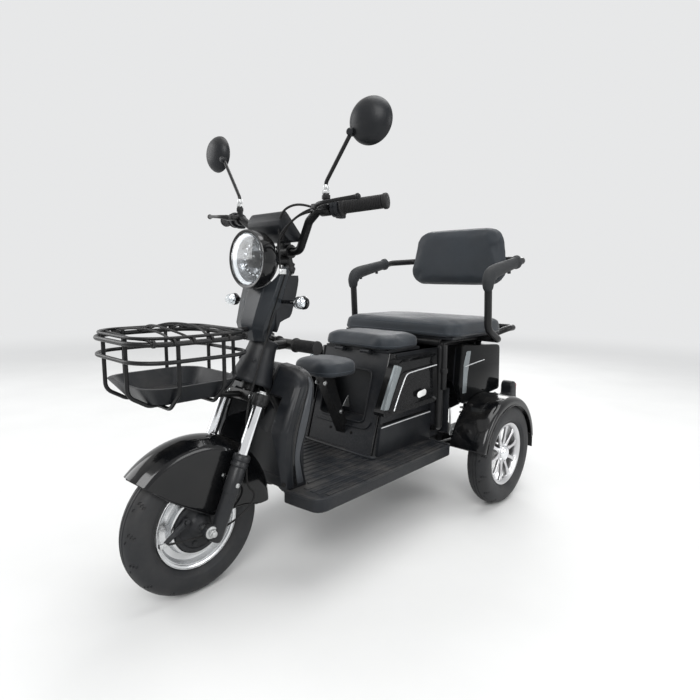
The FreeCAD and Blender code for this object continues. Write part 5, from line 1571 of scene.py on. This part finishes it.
def make_box_front():
    columns = []
    for sign in (1, -1):
        columns.append([at(sign * 146, leaning(z, -9), z) for z in (248, 300, 360, 430, 500, 545, 556)])
    rods("box_corner_columns", "chassis", "gloss_panel", columns, 12.5, sides=8)
    ring = []
    for x, z in ((-88, 337), (66, 337), (84, 342), (88, 356), (88, 480), (84, 495), (68, 500), (-90, 500),
                 (-106, 495), (-110, 480), (-110, 356), (-106, 342)):
        ring.append(at(x, leaning(z, 1), z))
    lower = [at(x, leaning(z, 1), z) for x, z in ((-124, 322), (-60, 320), (40, 320), (96, 322), (112, 330),
                                                  (118, 346))]
    rods("cubby_lip", "chassis", "moulded", [ring], 3.4, closed=True)
    rods("cubby_step", "chassis", "moulded", [lower], 3.0)
    bm = bmesh.new()
    for sign in (1, -1):
        for y, z in ((-578, 470), (-507, 368)):
            bolt(bm, at(sign * 18, y, z), ACROSS * sign, 5, 3)
    points = [at(20, -505, 386), at(20, -478, 418), at(20, -470, 378)]
    plate(bm, points, ACROSS * 0.002, 0.6, 2)
    done("child_strut_bolts", bm, "chassis", "zinc", slot="zinc")
    bm = bmesh.new()
    for x in (-46, -14, 14, 46):
        drum(bm, at(x, leaning(300, -1), 300), at(x, leaning(300, 1.2), 300), 5, 0.8, 24)
    done("box_vents", bm, "chassis", "shadow_gap", slot="satin_black")


# Tail
TAIL_SIDE = ((-136, 562), (-130, 568), (-118, 568), (122, 549), (136, 545), (141, 536), (150, 384),
             (147, 377), (138, 375), (-104, 361), (-114, 362), (-122, 372), (-146, 424), (-148, 434))


def make_tail():
    bm = bmesh.new()
    for sign in (1, -1):
        plate(bm, side_points(sign * 209, TAIL_SIDE), ACROSS * sign * 0.0225, 5, 4)
    # The tail side panels take the darker copy of the gloss finish: painted shade.
    done("tail_side_panels", bm, "chassis", "gloss_panel_shaded", replaces=("tail_panels",), slot="gloss_black")


# Thin dark sheets inside the tail, between the seat box and the rear fenders: they stand in for the dark
# brackets there and are partly painted shade for the shadowed inside.
def make_dark_liners():
    bm = bmesh.new()
    for sign in (1, -1):
        points = side_points(sign * 203, ((-146, 434), (-136, 560), (130, 545), (144, 388), (-104, 366)))
        plate(bm, points, ACROSS * sign * 0.002, 0.6, 2)
    points = side_points(-134, ((-148, 316), (-60, 316), (20, 322), (80, 350), (131, 376), (131, 372),
                                (82, 346), (22, 318), (-60, 312), (-148, 312)))
    plate(bm, points, ACROSS * 0.268, 0.6, 2)
    for sign in (1, -1):
        points = [at(sign * x, -166, z) for x, z in ((134, 262), (203, 262), (203, 420), (134, 420))]
        plate(bm, points, BACK * 0.002, 0.6, 2)
    done("rear_dark_liners", bm, "chassis", "moulded", slot="satin_black")


def make_tail_trim():
    # Light grey strips along the front edges of the tail side panels: a painted highlight for the reflection
    # on their bevelled edges.
    bm = bmesh.new()
    for sign in (1, -1):
        points = side_points(sign * 224, ((-124, 500), (-106, 546), (-76, 544), (-92, 470), (-98, 396),
                                          (-126, 398)))
        plate(bm, points, ACROSS * sign * 0.0078, 2, 3)
    done("tail_edge_highlights", bm, "chassis", "painted_highlight", slot="satin_black")
    line = side_points(232, ((-112, 492), (-60, 497), (-8, 500), (20, 502)))
    rods("tail_stripes", "chassis", "stripe_silver", [line, flipped(line)], 1.6)
    bm = bmesh.new()
    for sign in (1, -1):
        hump = side_points(sign * 236, ((96, 334), (106, 344), (118, 352), (134, 357), (152, 362), (152, 392),
                                        (158, 402), (168, 407), (180, 406), (190, 400), (195, 388),
                                        (200, 352), (206, 310), (207, 256)))
        plate(bm, hump, ACROSS * sign * 0.044, 6, 4)
    done("fender_humps", bm, "chassis", "moulded", replaces=("tail_lamps",), slot="red_lens")


def make_tail_lenses():
    bm = bmesh.new()
    for sign in (1, -1):
        slab(bm, at(sign * 240, 190, 330), at(sign * 276, 206, 394), 4, 4)
        turn(bm, at(sign * 150, 148, 470), BACK, ((0, 24), (2, 24), (4, 22), (5, 12), (5.4, 0)), 40)
    done("tail_lenses", bm, "chassis", "red", slot="red_lens")
    bm = bmesh.new()
    points = [at(x, 147, z) for x, z in ((-95, 392), (95, 392), (95, 452), (-95, 452))]
    plate(bm, points, BACK * 0.003, 1, 2)
    for x in (-70, 70):
        bolt(bm, at(x, 150, 440), BACK, 4, 2)
    done("tail_plate", bm, "chassis", "moulded", slot="satin_black")


REAR_FENDER_SECTION = ((0, 41, 176), (0.10, 41.6, 184), (0.18, 41.4, 191), (0.26, 39.6, 196.5),
                       (0.34, 35.5, 200.6), (0.44, 27, 203.6), (0.58, 8, 205.6), (0.72, -22, 206.4),
                       (0.86, -56, 205.4), (1, -85, 203.4))


def make_rear_fenders():
    for side, sign in SIDES:
        centre = Vector((sign * abs(REAR.x), REAR.y, REAR.z))
        bm = bmesh.new()

        def fender_place(u, v):
            degrees = 14 + 158 * u
            aside, radius = eased(REAR_FENDER_SECTION, v)
            return round_wheel(centre, sign * aside, degrees, radius)

        shaped(bm, 96, 26, fender_place)
        done(f"rear_fender_{side}", bm, "chassis", "gloss_panel", replaces=("rear_fenders",),
             slot="gloss_black", wall=2.4, outward=-1 if sign > 0 else 1)
        lip = [round_wheel(centre, sign * 41.6, 14 + 158 * number / 24, 176.4) for number in range(25)]
        rods(f"rear_fender_lip_{side}", "chassis", "gloss_panel", [lip], 2.4)
        bm = bmesh.new()
        flap = [round_wheel(centre, aside, degrees, radius) for aside, degrees,
                radius in ((-sign * 70, 171.5, 198), (sign * 36, 171.5, 198), (sign * 34, 186, 203),
                           (-sign * 66, 186, 203))]
        plate(bm, flap, BACK * 0.003, 0.8, 2)
        for degrees in (60, 110):
            out = (round_wheel(centre, 0, degrees, 100) - centre).normalized()
            bolt(bm, round_wheel(centre, -sign * 62, degrees, 205.5), out, 4.5, 3)
        done(f"mud_flap_{side}", bm, "chassis", "soft_rubber", slot="satin_black")


# Running gear
COIL_STEPS = 14


def helix(start, run, radius, turns):
    """Points of a coil spring round a line."""
    side = run.orthogonal().normalized()
    along = run.normalized()
    points = []
    for number in range(turns * COIL_STEPS + 1):
        turned = Matrix.Rotation(math.tau * number / COIL_STEPS, 3, along) @ side
        points.append(start + run * number / (turns * COIL_STEPS) + turned * radius * MM)
    return points


def make_shocks():
    springs = []
    bm = bmesh.new()
    for sign in (1, -1):
        foot = at(sign * 165, 4, 200)
        head = at(sign * 165, 56, 560)
        run = head - foot
        springs.append(helix(foot + run * 0.18, run * 0.46, 19.5, 9))
        drum(bm, foot + run * 0.05, foot + run * 0.62, 11, 1)
        drum(bm, foot + run * 0.60, head, 7, 1)
        for share in (0.17, 0.645):
            seat = foot + run * share
            drum(bm, seat - run.normalized() * 4 * MM, seat + run.normalized() * 4 * MM, 23, 1.2)
        for end in (foot + run * 0.03, head - run * 0.03):
            drum(bm, end - ACROSS * 12 * MM, end + ACROSS * 12 * MM, 12, 1.5)
    done("shock_bodies", bm, "chassis", "leg_black", replaces=("shock_absorbers",), slot="zinc")
    rods("shock_springs", "chassis", "zinc", springs, 3.6, smooth=False)


def make_side_bracket():
    bm = bmesh.new()
    slab(bm, at(196, -150, 254), at(199, -112, 286), 1, 2)
    slab(bm, at(196, -150, 254), at(216, -112, 257), 1, 2)
    bolt(bm, at(199, -140, 272), ACROSS, 4, 3)
    bolt(bm, at(199, -122, 264), ACROSS, 4, 3)
    drum(bm, at(204, -152, 252), at(204, -156, 350), 3, 0.5, 20)
    slab(bm, at(186, -108, 258), at(190, -70, 280), 1, 2)
    done("side_bracket", bm, "chassis", "zinc", slot="zinc")


def make_side_posts():
    bm = bmesh.new()
    for sign in (1, -1):
        low = at(sign * 205, -206, 422)
        high = at(sign * 205, -206, 574)
        drum(bm, low, high, 10, 1)
        drum(bm, at(sign * 205, -206, 478), at(sign * 205, -206, 494), 13, 1)
        slab(bm, at(sign * 186, -214, 560), at(sign * 206, -198, 574), 2)
        slab(bm, at(sign * 186, -214, 424), at(sign * 206, -198, 440), 2)
    done("side_posts", bm, "chassis", "powder_coat", slot="black_frame")


def make_motor():
    bm = bmesh.new()
    inner = 283
    for sign in (1, -1):
        turn(bm, at(0, 0, 180), ACROSS * sign, ((inner - 26, 30), (inner - 26, 66), (inner - 22, 69),
                                                (inner - 6, 69), (inner - 2, 66), (inner - 2, 30)), 56,
             closed=True)
        for arm in arms(3, 55, 30):
            bolt(bm, at(sign * (inner - 26), 0, 180) + arm, -ACROSS * sign, 4, 3)
    turn(bm, at(0, 0, 180), ACROSS, ((-112, 24), (-112, 66), (-106, 73), (-20, 73.5), (-16, 76), (-8, 76),
                                     (-4, 73.5), (14, 73), (20, 68), (24, 64), (86, 63), (92, 56),
                                     (92, 24)), 64, closed=True)
    for arm in arms(8, 66):
        bolt(bm, at(-112, 0, 180) + arm, -ACROSS, 4, 3)
    done("motor_and_drums", bm, "chassis", "leg_black", slot="zinc")


# Control cables and the elastic cords of the net
def cable(name, body, radius, points):
    """A cable or cord along points in metres, with its radius in millimetres."""
    item = rods(name, body, "soft_rubber", [points], radius)


def make_cables():
    cable("front_brake_cable", "steering", 2.6, [PERCH + Vector((-0.018, -0.024, 0.002)),
                                                 PERCH + Vector((-0.045, -0.036, -0.004)),
                                                 at(78, -790, 912), at(60, -792, 880), at(64, -786, 800),
                                                 steer(66, 50, 600), steer(60, 42, 520), steer(59, 38, 430),
                                                 steer(60, 36, 380), steer(62, 32, 310), steer(68, 14, 240),
                                                 steer(76, -8, 180), steer(80, -30, 120), at(78, -888, 232),
                                                 at(76, -908, 200), at(70, -965, 172), at(56, -1030, 160),
                                                 at(49, -1100, 168), at(48, -1118, 171)])
    cable("left_switch_cable", "steering", 3.0,
          [at(54, -782, 902), at(60, -788, 930), at(78, -790, 958), at(108, -780, 972), at(138, -764, 970),
           at(156, -752, 962)])
    cable("throttle_cable", "steering", 3.0, [at(54, -776, 886), at(70, -780, 904), at(94, -776, 932),
                                              at(124, -762, 952), at(154, -748, 956)])


# Basket net and child's handles
NET_CORDS = (
    # behind the rear axle, top of the arch, drift of the ends
    (-1176, 663, 10), (-1132, 671, -8), (-1088, 676, 12), (-1044, 678, -12), (-1000, 672, 8), (-956, 664, -6))


def make_basket_trim():
    bm = bmesh.new()
    for number, (y, high, drift) in enumerate(NET_CORDS):
        cord = [at(-139, y + drift, 655), at(-120, y + drift, 662), at(-60, y, high),
                at(10, y - drift, high + 2), at(70, y - drift, high - 3), at(122, y, 662), at(139, y, 655)]
        cable(f"net_cord_{number}", "steering", 2.6, cord)
        for end in (cord[0], cord[-1]):
            turn(bm, end, BACK, ((-2.5, 5.6), (-2.5, 8.2), (2.5, 8.2), (2.5, 5.6)), 20, closed=True)
    done("net_hooks", bm, "steering", "soft_rubber", slot="soft_rubber")


def make_child_bar():
    bm = bmesh.new()
    for sign in (1, -1):
        profile = [(34, 13), (34, 19), (36, 20.5), (39, 20.5), (41, 18)]
        for number in range(13):
            start = 44 + number * 5.6
            profile += [(start, 16), (start + 1, 17.6), (start + 3.6, 17.6), (start + 4.6, 16)]
        profile += [(118, 17.6), (121, 19.4), (125, 19), (127, 14), (127, 0)]
        turn(bm, at(0, -712, 602), ACROSS * sign, profile, 36)
    done("child_bar_grips", bm, "chassis", "soft_rubber", slot="soft_rubber")


def make_body():
    make_seats()
    make_backrest()
    make_arm_pads()
    make_leg_shield()
    make_shield_bands()
    make_shield_screws()
    make_neck_bell()
    make_footboard()
    make_seat_box()
    make_side_marks()
    make_box_front()
    make_tail()
    make_dark_liners()
    make_tail_trim()
    make_tail_lenses()
    make_rear_fenders()
    make_shocks()
    make_side_bracket()
    make_side_posts()
    make_motor()
    make_basket_trim()
    make_child_bar()
    make_cables()


make_camera()
bpy.context.scene.view_settings.view_transform = "Standard"
make_world()
make_floor()
make_lamps()
finish_nodes()
make_front_wheel()
make_drum_brake()
for side, sign in SIDES:
    make_rear_wheel(side, sign)
make_steering()
make_body()
